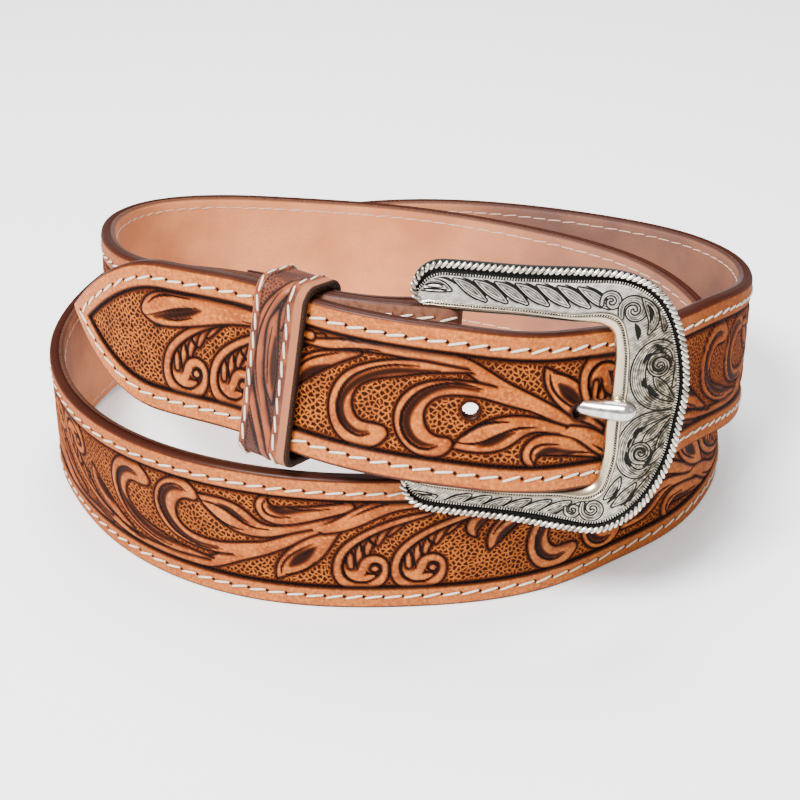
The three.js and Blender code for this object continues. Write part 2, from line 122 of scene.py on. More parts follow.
# One length of the strap's scroll, to the left of where its stems meet; x along the strap.
SCROLL = [Stroke(*row) for row in (
    (R, ((-78.5, 1.2, 0.3), (-79.6, 3.0, 2.4), (-78.6, 5.8, 3.8), (-75, 8.6, 3.2), (-69, 10.8, 2.0))),
    (H, ((-79.0, 3.4, 0.4), (-77.8, 5.4, 1.3), (-75.4, 7.2, 0.5))),
    (R, ((-75.2, -3.2, 0.3), (-74.6, -1.0, 2.6), (-72.8, 2.2, 4.6), (-69.6, 5.0, 4.6), (-65, 7.4, 3.0),
         (-60, 9.6, 1.8))),
    (L, ((-74.6, 1.4, 0.2), (-72.6, 4.2, 0.6), (-69.0, 6.6, 0.6), (-64.5, 8.4, 0.3))),
    (H, ((-73.8, -1.2, 0.4), (-72.0, 1.2, 1.9), (-69.0, 3.4, 1.8), (-66.4, 5.0, 0.4))),
    (R, ((-76, 8.8, 0.6), (-69, 9.6, 2.2), (-61, 11.0, 2.6), (-54, 11.6, 2.6), (-46, 11.4, 2.6),
         (-40, 11.1, 2.8), (-35, 10.3, 3.2), (-30, 7.8, 3.6), (-25, 5.2, 3.8), (-20, 3.0, 3.6),
         (-15, 0.4, 3.3), (-10, -2.3, 2.9), (-5, -4.9, 2.6), (1, -7.4, 2.0))),
    (L, ((-70, 7.4, 0.3), (-64, 9.4, 0.6), (-58, 10.6, 0.5), (-54.5, 11.0, 0.2))),
    (L, ((-66, 11.4, 0.2), (-58, 12.2, 0.5), (-49, 12.5, 0.3))),
    (R, ((-33.4, 9.2, 0.6), (-40, 8.9, 1.8), (-45.3, 8.6, 3.0), (-50.3, 7.7, 3.9), (-55, 6.4, 4.0),
         (-58.3, 4.9, 4.1), (-60.8, 2.9, 4.5), (-62.4, 0, 5.0), (-62.8, -3.3, 5.6), (-62, -6.3, 6.2),
         (-60.2, -8.6, 6.7), (-57.4, -9.6, 6.6), (-54.8, -9.1, 5.6), (-53.0, -8.3, 3.8))),
    (H, ((-41, 8.2, 0.5), (-46, 7.6, 1.1), (-51, 6.9, 1.5), (-55, 5.5, 1.6), (-58.6, 3.4, 1.6),
         (-61.2, 0.6, 1.5), (-62.5, -2.6, 1.5), (-62.2, -5.6, 1.6), (-60.4, -8.0, 1.4),
         (-57.8, -9.0, 1.0), (-55.6, -8.6, 0.4))),
    (L, ((-45.5, 8.75, 0.2), (-50.5, 8.4, 0.5), (-54.8, 7.2, 0.6), (-58.7, 5.2, 0.7),
         (-61.6, 2.4, 0.8), (-63.1, -1.0, 0.8), (-63.3, -4.6, 0.8), (-62.2, -7.4, 0.8),
         (-60.2, -9.2, 0.7), (-57.6, -9.9, 0.6), (-55.0, -8.9, 0.3))),
    (R, ((-21.0, 2.2, 2.0), (-24.4, 3.5, 3.2), (-30, 4.8, 3.4), (-36, 5.0, 3.5), (-40.8, 4.2, 3.9),
         (-43.7, 2.8, 4.7), (-45.8, 0.6, 5.7), (-46.8, -2.4, 6.6), (-46.4, -5.4, 6.9),
         (-45.0, -7.7, 6.7), (-42.8, -9.2, 6.1), (-40.2, -9.5, 5.0), (-38.2, -8.6, 3.2))),
    (H, ((-32, 5.0, 0.6), (-37, 5.2, 1.0), (-41.6, 4.0, 1.4), (-44.9, 1.4, 1.7), (-46.9, -2.0, 1.8),
         (-47.1, -5.2, 1.8), (-45.6, -7.9, 1.6), (-43.0, -9.3, 1.2), (-40.8, -9.2, 0.4))),
    (L, ((-30.8, 5.3, 0.2), (-36, 6.0, 0.5), (-41, 5.1, 0.6), (-44.8, 3.1, 0.7), (-47.2, 0.2, 0.8),
         (-48.4, -3.0, 0.8), (-48.2, -5.8, 0.8), (-47.0, -8.2, 0.8), (-44.8, -9.9, 0.7),
         (-42.2, -10.4, 0.6), (-39.8, -9.2, 0.3))),
    (J, ((-17.5, 1.0, 1.6), (-21, 3.0, 3.0), (-24.6, 4.6, 2.6), (-27.4, 6.2, 0.8))),
    (J, ((-28, 7.4, 1.6), (-31.5, 9.0, 2.0), (-34.0, 9.9, 0.8))),
    (R, ((-36.4, -9.2, 0.6), (-34, -7.9, 3.6), (-30.5, -6.4, 6.4), (-27, -4.8, 7.4), (-23, -2.9, 5.4),
         (-18.4, -2.4, 3.4), (-13, -3.8, 2.5), (-8, -5.3, 2.2), (-2, -7.4, 1.8))),
    (L, ((-34.8, -6.6, 0.2), (-32, -3.9, 0.6), (-28.6, -2.2, 0.7), (-24.8, -1.7, 0.3))),
    (L, ((-36, -7.8, 0.3), (-32, -7.6, 0.6), (-29.5, -6.6, 0.6), (-26, -4.5, 0.6), (-22, -3.0, 0.6),
         (-18.2, -3.0, 0.2))),
    (H, ((-31, -8.0, 0.4), (-28.4, -6.7, 1.9), (-25.4, -5.0, 1.3), (-23.4, -4.2, 0.3))),
    (R, ((1, -11.0, 2.6), (-4, -9.7, 3.4), (-9.5, -8.3, 4.3), (-14.5, -7.3, 5.0), (-18.4, -7.7, 4.6),
         (-19.9, -10.0, 3.4), (-19.0, -12.5, 1.0))),
    (L, ((-18.6, -11.8, 0.2), (-19.7, -9.8, 0.6), (-18.9, -7.8, 0.7), (-16.6, -7.0, 0.5),
         (-13, -7.3, 0.3))),
    (H, ((-18.2, -9.6, 0.8), (-16.4, -8.8, 1.7), (-12, -9.0, 1.0), (-6, -9.9, 0.3))),
    (L, ((-13.5, -9.7, 0.2), (-8, -9.8, 0.5), (-3.4, -10.5, 0.2))),
    (R, ((-16.9, 11.2, 0.3), (-15.2, 8.4, 3.8), (-12.6, 5.8, 6.3), (-9.6, 3.2, 7.0), (-6.8, 0.6, 5.8),
         (-3.6, -2.4, 3.0), (-1.0, -5.0, 1.4))),
    (L, ((-15.9, 9.6, 0.3), (-15.4, 7.0, 0.6), (-13.6, 4.2, 0.6), (-10.4, 1.6, 0.5),
         (-7.6, -0.2, 0.2))),
    (L, ((-15.0, 9.8, 0.2), (-11.6, 8.9, 0.6), (-8.8, 7.2, 0.6), (-7.4, 5.2, 0.3))),
    (H, ((-13.4, 7.0, 0.8), (-11.4, 5.0, 2.8), (-8.8, 2.6, 2.2), (-7.0, 0.8, 0.4))),
    (L, ((-12.2, 5.0, 0.2), (-9.6, 2.9, 0.4), (-7.8, 1.4, 0.2))),
)]

# One feathered volute, from its own bulb.
VOLUTE = [Stroke(*row) for row in (
    (R, ((1, 9.6, 1.6), (-2.6, 6.0, 3.2), (-5.0, 2.6, 3.6), (-5.7, -0.6, 4.0), (-4.6, -2.7, 3.8),
         (-2.4, -3.0, 3.0), (-0.4, -2.4, 1.6))),
    (R, ((-5.8, 0.6, 1.5), (-5.8, 3.6, 1.8), (-5.0, 6.4, 1.2), (-4.2, 8.0, 0.3))),
    (R, ((-3.9, 2.2, 1.6), (-3.7, 4.8, 1.9), (-2.7, 7.6, 1.5), (-1.4, 9.6, 0.3))),
    (R, ((-1.9, 4.6, 1.3), (-1.4, 6.8, 1.8), (0.0, 9.2, 1.4), (1.6, 11.2, 0.3))),
    (R, ((0.7, 7.4, 1.1), (1.6, 9.4, 1.6), (3.0, 11.3, 1.1), (4.6, 12.6, 0.3))),
    (R, ((3.4, 10.0, 0.9), (5.0, 11.7, 1.3), (7.2, 13.4, 0.7), (8.6, 14.0, 0.2))),
    (R, ((13.4, 15.9, 1.0), (8.5, 14.7, 1.7), (3.4, 12.9, 1.9), (-1.0, 10.7, 2.0), (-5.0, 7.9, 2.1),
         (-7.8, 4.7, 2.2), (-9.0, 1.0, 2.3), (-8.7, -2.5, 2.5), (-6.6, -4.9, 2.8), (-3.6, -5.6, 2.9),
         (-0.6, -4.9, 2.9), (1.7, -2.9, 2.5), (2.5, -0.4, 1.9), (1.9, 2.0, 2.1), (-0.2, 2.9, 2.5),
         (-2.2, 1.9, 2.5), (-3.0, -0.2, 2.4), (-3.6, -1.6, 2.0))),
    (J, ((-2.5, 0.2, 1.2), (-3.6, -1.3, 2.3), (-4.6, -2.2, 2.3), (-2.4, -2.8, 1.8),
         (-0.6, -2.4, 1.4))),
    (J, ((-0.6, 0.1, 2.8), (0.1, 0.1, 2.9))),
    (L, ((1.25, 0.1, 0.7), (0.4, 1.2, 0.8), (-0.95, 0.8, 0.8), (-0.95, -0.6, 0.8), (0.4, -1.0, 0.8),
         (1.25, 0.1, 0.7))),
    (L, ((6, 12.9, 0.2), (-0.6, 9.6, 0.5), (-4.5, 6.6, 0.6), (-6.9, 3.6, 0.7), (-7.8, 0.6, 0.8),
         (-7.2, -2.0, 0.8), (-5.4, -3.7, 0.8), (-2.9, -4.2, 0.7), (-0.9, -3.5, 0.6),
         (0.3, -2.2, 0.3))),
    (L, ((-5.6, 5.4, 0.3), (-4.7, 2.4, 0.9), (-4.5, 0.6, 0.3))),
    (L, ((-3.5, 7.6, 0.3), (-2.8, 5.0, 0.9), (-2.7, 3.8, 0.3))),
    (L, ((-1.6, 9.0, 0.3), (-0.4, 7.4, 0.8), (0.2, 6.6, 0.3))),
)]

# The broad bud over the volutes at the tip, in the strap's own coordinates.
TIP_BUD = [Stroke(*row) for row in (
    (R, ((78, 10.6, 2.2), (66, 10.2, 3.2), (55, 9.6, 5.2), (46, 8.6, 7.4), (39.5, 7.9, 8.4),
         (34.5, 7.4, 7.2), (32.2, 6.8, 4.0))),
    (L, ((32.6, 8.4, 0.2), (35, 10.4, 0.6), (39.5, 11.5, 0.6), (45.5, 11.4, 0.2))),
    (L, ((31.8, 5.2, 0.2), (36, 6.6, 0.4), (41, 8.4, 0.4), (46.5, 9.4, 0.2))),
    (H, ((34.5, 5.4, 0.4), (39.5, 6.6, 2.0), (44.5, 8.0, 2.2), (48.5, 9.2, 0.4))),
    (L, ((36, 5.4, 0.2), (41, 5.6, 0.5), (46.0, 7.0, 0.3))),
    (L, ((38, 7.2, 0.2), (43, 8.6, 0.4), (47.4, 9.6, 0.2))),
    (L, ((38, 6.2, 0.2), (43, 7.4, 0.4), (47.8, 8.8, 0.2))),
    (L, ((60, 8.8, 0.2), (68, 9.2, 0.4), (77, 10.0, 0.2))),
)]


def natural_spline(knots: Sequence[float], values: Array) -> Callable[[Array], Array]:
    """Natural cubic spline through rows of values.

    Args:
        knots: increasing positions of the rows.
        values: one row for each knot.

    Returns:
        A function from positions to rows of values.
    """
    k = np.asarray(knots, float)
    v = np.asarray(values, float)
    n = len(k)
    step = np.diff(k)
    system = np.eye(n)
    right = np.zeros_like(v)
    for i in range(1, n - 1):
        system[i, i - 1:i + 2] = step[i - 1], 2 * (step[i - 1] + step[i]), step[i]
        right[i] = 6 * ((v[i + 1] - v[i]) / step[i] - (v[i] - v[i - 1]) / step[i - 1])
    second = np.linalg.solve(system, right)

    def curve(x: Array) -> Array:
        """Rows of values at the positions x.

        Args:
            x: positions.

        Returns:
            One row for each position.
        """
        x = np.atleast_1d(np.asarray(x, float))
        i = np.clip(np.searchsorted(k, x) - 1, 0, n - 2)
        span = step[i][:, None]
        a = (k[i + 1] - x)[:, None] / span
        b = 1 - a
        bend = ((a ** 3 - a) * second[i] + (b ** 3 - b) * second[i + 1]) * span ** 2 / 6
        return a * v[i] + b * v[i + 1] + bend

    return curve


def unit(rows: Array) -> Array:
    """Rows of vectors scaled to length one."""
    return rows / np.linalg.norm(rows, axis=-1, keepdims=True)


def ease(low: float, high: float, x: Array) -> Array:
    """Smooth step from 0 at low to 1 at high."""
    part = np.clip((np.asarray(x, float) - low) / (high - low), 0, 1)
    return part * part * (3 - 2 * part)


def travelled(line: Array) -> Array:
    """Distance walked along a line at each of its points."""
    return np.concatenate([[0], np.cumsum(np.linalg.norm(np.diff(line, axis=0), axis=1))])


def read_off(at: Array, knots: Array, rows: Array) -> Array:
    """Rows of values between the knots, at the positions at."""
    return np.stack([np.interp(at, knots, column) for column in rows.T], 1)


def over_face(shape: tuple, face: slice, rows: Array) -> Array:
    """Numbers that hold on the columns of the worked face and are zero elsewhere.

    Args:
        shape: rows and columns of the whole ring.
        face: columns of the worked face.
        rows: the numbers on the face.

    Returns:
        The numbers on the whole ring.
    """
    whole = np.zeros(shape)
    whole[:, face] = rows
    return whole


class Frames(NamedTuple):
    """Frames along a line: a place and three unit directions in each row."""

    origin: Array
    along: Array
    up: Array
    out: Array

    def place(self, up: Array, out: Array, along: Union[Array, float] = 0.0) -> Array:
        """Points for each row and each column of the offsets, in an array (rows, columns, 3).

        Args:
            up: offsets along up.
            out: offsets along out.
            along: offsets along the line.

        Returns:
            Points in an array (rows, columns, 3).
        """
        rows = len(self.origin)
        sizes = [np.atleast_2d(np.asarray(part, float)) for part in (along, up, out)]
        columns = max(part.shape[1] for part in sizes)
        along_, up_, out_ = (np.broadcast_to(part, (rows, columns))[..., None] for part in sizes)
        return (self.origin[:, None] + self.along[:, None] * along_
                + self.up[:, None] * up_ + self.out[:, None] * out_)


@dataclass(frozen=True)
class Strap:
    """Sizes of the strap and the coiled line that it follows."""

    half_width: float = 19.0
    outer_face: float = 2.0
    seam: float = -0.5
    lining_back: float = -2.0
    tip_length: float = 36.0
    tip_power_above: float = 0.96
    tip_power_below: float = 0.85
    tip_drop: float = 0.9
    first_bearing: float = -72.7
    last_bearing: float = 725.5
    shift: tuple = (1.1, 2.15, -0.15)
    bar_setback: float = 2.7
    tab_length: float = 50.0
    tab_offset: float = 2.65
    tab_closing: float = 16.0
    tab_end_face: float = 0.9
    tab_skive: float = 22.0
    hole_first: float = 116.6
    hole_pitch: float = 25.4
    hole_count: int = 3
    hole_radius: float = 2.0
    end_lift: float = 1.4
    end_span: tuple = (1072, 1112)
    front_dip: float = 1.7
    dip_span: tuple = (108, 138, 160, 196)
    nose: float = 0.9
    table: dict = field(default_factory=dict)

    def __post_init__(self) -> None:
        """Works out the frames along the line once."""
        bearing = np.linspace(self.first_bearing, self.last_bearing, 8001)
        curve = natural_spline([row.bearing for row in PATH_ROWS], [row[1:] for row in PATH_ROWS])
        reach, foot, lean = curve(bearing).T
        angle, tilt = np.radians(bearing), np.radians(lean)
        height = foot + self.half_width * np.cos(tilt)
        middle = np.stack([reach * np.sin(angle), -reach * np.cos(angle), height], 1)
        middle += np.array(self.shift)
        along = unit(np.gradient(middle, axis=0))
        plumb = unit(np.array([0, 0, 1.0]) - along * along[:, 2:])
        level = np.cross(along, plumb)
        up = plumb * np.cos(tilt)[:, None] + level * np.sin(tilt)[:, None]
        self.table["walked"] = travelled(middle)
        self.table["frames"] = Frames(middle, along, up, np.cross(along, up))

    @property
    def length(self) -> float:
        """Length of the mid-line from the tip to the fold."""
        return float(self.table["walked"][-1])

    def frames(self, distance: Array) -> Frames:
        """Frames at distances from the tip, also round the fold and along the tab past the end.

        Args:
            distance: distances from the tip.

        Returns:
            One frame for each distance.
        """
        distance = np.atleast_1d(np.asarray(distance, float))
        walked, frames = self.table["walked"], self.table["frames"]
        middle, *ways = (read_off(distance, walked, rows) for rows in frames)
        found = Frames(middle, *map(unit, ways))
        lift = self.end_lift * ease(*self.end_span, distance)
        dipped = ease(*self.dip_span[:2], distance) - ease(*self.dip_span[2:], distance)
        lift -= self.front_dip * dipped
        found.origin[:] += found.up * lift[:, None]
        past = distance > self.length
        if past.any():
            folded = self._fold(distance[past] - self.length)
            for rows, new in zip(found, folded):
                rows[past] = new
        return found

    def _fold(self, past: Array) -> Frames:
        """Frames round the bar and along the tab, at distances past the strap's end.

        Args:
            past: distances past the strap's end.

        Returns:
            One frame for each distance.
        """
        end = self.frames(self.length - 0.01)
        turn = np.clip(past / self.bar_setback, 0, math.pi)[:, None]
        centre = end.origin - end.out * self.bar_setback
        out = end.out * np.cos(turn) + end.along * np.sin(turn)
        along = end.along * np.cos(turn) - end.out * np.sin(turn)
        up = np.repeat(end.up, len(past), 0)
        origin = centre + out * self.bar_setback
        back = past - math.pi * self.bar_setback
        on_tab = back > 0
        if on_tab.any():
            strap = self.frames(self.length - back[on_tab])
            closed = ease(0, self.tab_closing, back[on_tab])[:, None]
            offset = 2 * self.bar_setback * (1 - closed) + self.tab_offset * closed
            origin[on_tab] = strap.origin - strap.out * offset
            along[on_tab] = -strap.along
            up[on_tab] = strap.up
            out[on_tab] = -strap.out
        return Frames(origin, along, up, out)

    def face(self, distance: Array) -> Array:
        """Height of the grain side over the mid-line, thinned towards the tab's end.

        Args:
            distance: distances from the tip.

        Returns:
            One height for each distance.
        """
        back = np.asarray(distance, float) - self.length - math.pi * self.bar_setback
        part = np.clip(back / self.tab_skive, 0, 1)
        return self.outer_face + (self.tab_end_face - self.outer_face) * part

    def edges(self, distance: Array) -> tuple[Array, Array]:
        """Heights of the lower and the upper edge over the mid-line.

        Args:
            distance: distances from the tip.

        Returns:
            The heights of both edges.
        """
        distance = np.asarray(distance, float)
        middle = -self.tip_drop * (1 - np.clip(distance / self.tip_length, 0, 1))
        part = np.clip((distance + self.nose * np.exp(-distance / 5)) / self.tip_length, 0, 1)
        blunt = np.sqrt(1 - np.clip(1 - distance / (1.5 * self.nose), 0, 1) ** 2)
        above = self.half_width * np.sin(math.pi / 2 * part ** self.tip_power_above) * blunt
        below = self.half_width * np.sin(math.pi / 2 * part ** self.tip_power_below) * blunt
        return middle - below, middle + above

    def holes(self) -> list[float]:
        """Distances of the tongue holes from the tip."""
        return [self.hole_first + self.hole_pitch * i for i in range(self.hole_count)]

    def inset_line(self, inset: float, sign: int, last: float) -> Array:
        """Line in the strap's plane at a distance inside its edge, from the tip's axis onwards.

        Args:
            inset: distance from the edge.
            sign: 1 for the upper edge, -1 for the lower one.
            last: distance from the tip at which the line ends.

        Returns:
            Points (distance, height) along the line.
        """
        along = np.concatenate([np.geomspace(0.05, 40, 160), np.arange(40.5, last, 0.5), [last]])
        height = self.edges(along)[1 if sign > 0 else 0]
        edge = np.stack([along, height], 1)
        tangent = unit(np.gradient(edge, axis=0))
        normal = np.stack([tangent[:, 1], -tangent[:, 0]], 1) * sign
        line = edge + normal * inset
        axis = -self.tip_drop * (1 - np.clip(line[:, 0] / self.tip_length, 0, 1))
        return line[(line[:, 1] - axis) * sign > 0]


def smooth_line(places: Sequence[Sequence[float]], per_span: int = 7) -> Array:
    """Points (x, y, width) on a smooth line through a stroke's places.

    Args:
        places: the places (x, y, width).
        per_span: points between two places.

    Returns:
        The points, one in each row.
    """
    rows = np.asarray(places, float)
    knots = travelled(rows[:, :2])
    x = np.linspace(0, knots[-1], (len(rows) - 1) * per_span + 1)
    line = natural_spline(knots, rows)(x)
    line[:, 2] = np.maximum(line[:, 2], 0.05)
    return line


@dataclass
class Relief:
    """Worked surface over a grid of flat points: its height and how dark and rough it is.

    x and y are grids (rows, columns) in which x hardly changes along a row.
    """

    x: Array
    y: Array
    ground_depth: float = 0.42
    bevel: float = 1.1
    edge_line: float = 0.34
    line_depth: float = 0.2
    crown_width: float = 1.2
    joint_edge: tuple = (-0.25, 0.45)
    raised_edge: tuple = (-0.12, 0.2)
    height: Array = field(init=False)
    cut: Array = field(init=False)
    ground: Array = field(init=False)
    rib: Array = field(init=False)

    def __post_init__(self) -> None:
        """Starts with the lowered ground everywhere."""
        self.height = np.full(self.x.shape, -self.ground_depth)
        self.cut = np.zeros(self.x.shape)
        self.rib = np.zeros(self.x.shape)
        self.ground = np.ones(self.x.shape)
        self._low = self.x.min(1)
        self._high = self.x.max(1)

    def _rows(self, low: float, high: float) -> slice:
        """Rows that may hold points between two x."""
        hit = np.flatnonzero((self._high >= low) & (self._low <= high))
        return slice(int(hit[0]), int(hit[-1]) + 1) if len(hit) else slice(0, 0)

    def score(self, line: Array, margin: float) -> tuple[slice, Array]:
        """Distance inside a stroke's outline, negative outside, on the rows near it.

        Args:
            line: points (x, y, width) of the stroke.
            margin: how far outside it is measured.

        Returns:
            The rows near the stroke, and the distance at each of their points.
        """
        rows = self._rows(line[:, 0].min() - margin, line[:, 0].max() + margin)
        x, y = self.x[rows], self.y[rows]
        best = np.full(x.shape, -FAR)
        for (ax, ay, aw), (bx, by, bw) in zip(line[:-1], line[1:]):
            near = ((x > min(ax, bx) - margin) & (x < max(ax, bx) + margin)
                    & (y > min(ay, by) - margin) & (y < max(ay, by) + margin))
            if not near.any():
                continue
            px, py = x[near] - ax, y[near] - ay
            dx, dy = bx - ax, by - ay
            part = np.clip((px * dx + py * dy) / max(dx * dx + dy * dy, 1e-9), 0, 1)
            gap = np.hypot(px - part * dx, py - part * dy)
            inside = (aw + (bw - aw) * part) / 2 - gap
            best[near] = np.maximum(best[near], inside)
        return rows, best

    def work(self, stroke: Stroke, place: Callable[[Array], Array] = lambda line: line) -> None:
        """Works one stroke into the surface.

        Args:
            stroke: what is worked.
            place: turns points (x, y, width) of the stroke into places on this surface.
        """
        line = place(smooth_line(stroke.places))
        rows, inside = self.score(line, float(line[:, 2].max()) / 2 + self.bevel + 0.4)
        height, cut = self.height[rows], self.cut[rows]
        ground, rib = self.ground[rows], self.rib[rows]
        if stroke.look is Look.JOINED:
            body = ease(*self.joint_edge, inside)
            height[:] = height * (1 - body) - 0.03 * body
            cut[:] = cut * (1 - body)
            ground[:] = ground * (1 - body)
            rib[:] = rib * (1 - body) + self.crown_width * body
        elif stroke.look is Look.RAISED:
            body = ease(*self.raised_edge, inside)
            foot = np.clip(1 + inside / self.bevel, 0, 1) * (inside < 0)
            crown = -0.02 - 0.3 * self.ground_depth / 0.42 * (1 - ease(0.0, self.crown_width, inside))
            height[:] = np.minimum(height, -0.2 * self.ground_depth - self.ground_depth * foot ** 2
                                   + (1 - (foot > 0)) * FAR)
            height[:] = height * (1 - body) + crown * body
            cut[:] = np.maximum(cut, 0.9 * foot ** 1.2) * (1 - body)
            cut[:] = np.maximum(cut, np.exp(-((inside + 0.05) / self.edge_line) ** 2))
            ground[:] = ground * (1 - body)
            rib[:] = rib * (1 - body) + np.maximum(inside, 0) * body
        else:
            soft = 0.2 if stroke.look is Look.LINE else 0.6
            mark = ease(-soft, soft * 0.8, inside)
            depth = self.line_depth * (1.0 if stroke.look is Look.LINE else 1.3)
            height[:] = height - depth * mark
            strength = 0.95 if stroke.look is Look.LINE else 0.78
            cut[:] = np.maximum(cut, strength * mark)

    def dent(self, x: float, y: float, radius: float, depth: float) -> None:
        """Presses a small round dark dent.

        Args:
            x: its centre.
            y: its centre.
            radius: its radius.
            depth: its depth.
        """
        rows = self._rows(x - 2 * radius, x + 2 * radius)
        away = np.hypot(self.x[rows] - x, self.y[rows] - y)
        mark = 1 - ease(radius * 0.5, radius * 1.5, away)
        self.height[rows] -= depth * mark
        self.cut[rows] = np.maximum(self.cut[rows], mark)


class Wire:
    """An output socket with the arithmetic that its tree needs."""

    def __init__(self, nodes: "Nodes", socket: bpy.types.NodeSocket) -> None:
        """Keeps the socket and the tree that it belongs to."""
        self.nodes = nodes
        self.socket = socket

    def _math(self, operation: str, *values: Any) -> "Wire":
        """Math node over values."""
        return self.nodes.node("ShaderNodeMath", {"operation": operation}, *values)

    def __add__(self, other: Any) -> "Wire":
        """Sum."""
        return self._math("ADD", self, other)

    __radd__ = __add__

    def __mul__(self, other: Any) -> "Wire":
        """Product."""
        return self._math("MULTIPLY", self, other)

    __rmul__ = __mul__

    def __sub__(self, other: Any) -> "Wire":
        """Difference."""
        return self._math("SUBTRACT", self, other)

    def __rsub__(self, other: Any) -> "Wire":
        """Difference, reflected."""
        return self._math("SUBTRACT", other, self)

    def step(self, low: float, high: float) -> "Wire":
        """Smooth step from 0 at low to 1 at high."""
        settings = {"interpolation_type": "SMOOTHSTEP"}
        return self.nodes.node("ShaderNodeMapRange", settings, self, low, high)

    def most(self, other: Any) -> "Wire":
        """Larger of two values."""
        return self._math("MAXIMUM", self, other)


class Nodes:
    """Adds nodes to one tree."""

    def __init__(self, tree: bpy.types.NodeTree) -> None:
        """Keeps the tree."""
        self.tree = tree

    def feed(self, socket: bpy.types.NodeSocket, value: Any) -> None:
        """Links or sets one input.

        Args:
            socket: the input.
            value: a wire, a value, or None to leave the input as it is.
        """
        if isinstance(value, Wire):
            self.tree.links.new(value.socket, socket)
        elif value is not None:
            socket.default_value = value

    def node(self, kind: str, settings: Optional[dict] = None, *values: Any, out: Optional[str] = None,
             **named: Any) -> Wire:
        """Adds one node.

        Args:
            kind: the node's type.
            settings: its properties, set before its inputs are fed.
            *values: values or wires of its enabled inputs in order.
            out: name of the wanted output, or None for the first enabled one.
            **named: values or wires of inputs by name.

        Returns:
            The output as a wire.
        """
        node = self.tree.nodes.new(kind)
        for key, value in (settings or {}).items():
            setattr(node, key, value)
        enabled = [socket for socket in node.inputs if socket.enabled]
        for socket, value in zip(enabled, values):
            self.feed(socket, value)
        for key, value in named.items():
            self.feed(next(socket for socket in enabled if socket.name == key), value)
        return Wire(self, next(s for s in node.outputs if s.enabled and out in (None, s.name)))


class Paint(Nodes):
    """Builds the nodes of one material."""

    def __init__(self, name: str) -> None:
        """Starts an empty material with a shader on its output."""
        self.material = bpy.data.materials.new(name)
        self.material.use_nodes = True
        super().__init__(self.material.node_tree)
        self.tree.nodes.clear()
        self.shader = self.tree.nodes.new("ShaderNodeBsdfPrincipled")
        output = self.tree.nodes.new("ShaderNodeOutputMaterial")
        self.tree.links.new(self.shader.outputs[0], output.inputs[0])

    def mix(self, a: Any, b: Any, factor: Any) -> Wire:
        """Mixes two colours."""
        colours = [(*c, 1.0) if isinstance(c, tuple) else c for c in (a, b)]
        return self.node("ShaderNodeMix", {"data_type": "RGBA"}, factor, *colours)

    def layers(self, colour: Any, *coats: tuple) -> Wire:
        """Lays coats of colour over one another, each with the share that it covers.

        Args:
            colour: the lowest colour.
            *coats: pairs of a colour and its share.

        Returns:
            The colour on top.
        """
        for coat, share in coats:
            colour = self.mix(colour, coat, share)
        return colour

    def numbers(self, *names: str) -> list[Wire]:
        """Numbers kept on the mesh's points, as wires in the order of their names."""
        return [self.node("ShaderNodeAttribute", {"attribute_name": name}, out="Fac") for name in names]

    def cells(self, turn: float, scale: float, randomness: float, where: Optional[Wire] = None) -> Wire:
        """Distance to the edge of small cells on flat coordinates in millimetres.

        Args:
            turn: angle of the coordinates, when no others are given.
            scale: cells in a millimetre.
            randomness: how irregular the cells are.
            where: other coordinates.

        Returns:
            The distance.
        """
        settings = {"feature": "DISTANCE_TO_EDGE", "voronoi_dimensions": "2D"}
        return self.node("ShaderNodeTexVoronoi", settings, Vector=where or self.flat(turn), Scale=scale,
                         Randomness=randomness)

    def flat(self, turn: float = 0.0) -> Wire:
        """The piece's own flat coordinates in millimetres."""
        uv = self.node("ShaderNodeUVMap", {"uv_map": "flat"})
        return self.node("ShaderNodeMapping", None, uv, Scale=(1 / MM,) * 3, Rotation=(0, 0, turn))

    def noise(self, scale: float, detail: float, where: Optional[Wire] = None) -> Wire:
        """Noise between about 0.3 and 0.7, at so many waves a millimetre on flat coordinates."""
        return self.node("ShaderNodeTexNoise", None, where or self.flat(), Scale=scale, Detail=detail)

    def solid_noise(self, scale: float, detail: float) -> Wire:
        """The same noise at so many waves a metre on object coordinates."""
        return self.noise(scale, detail, self.node("ShaderNodeTexCoord", out="Object"))

    def finish(self, colour: Any, roughness: Any, metallic: Any = 0.0, height: Optional[Wire] = None,
               relief: float = 0.0001, shine: float = 0.5, coat: Any = 0.0) -> bpy.types.Material:
        """Feeds the shader and returns the material.

        Args:
            colour: base colour.
            roughness: roughness.
            metallic: metallic share.
            height: height of the fine relief, from 0 to 1.
            relief: depth of that relief in metres.
            shine: level of the plain reflection.
            coat: weight of the wax on top.

        Returns:
            The material.
        """
        fed = {"Base Color": (*colour, 1.0) if isinstance(colour, tuple) else colour,
               "Roughness": roughness, "Metallic": metallic, "Coat Weight": coat,
               "Coat Roughness": COAT_ROUGHNESS, "Specular IOR Level": shine}
        if height is not None:
            depth = {"Strength": 1.0, "Distance": relief, "Height": height}
            fed["Normal"] = self.node("ShaderNodeBump", **depth)
        for key, value in fed.items():
            self.feed(self.shader.inputs[key], value)
        return self.material


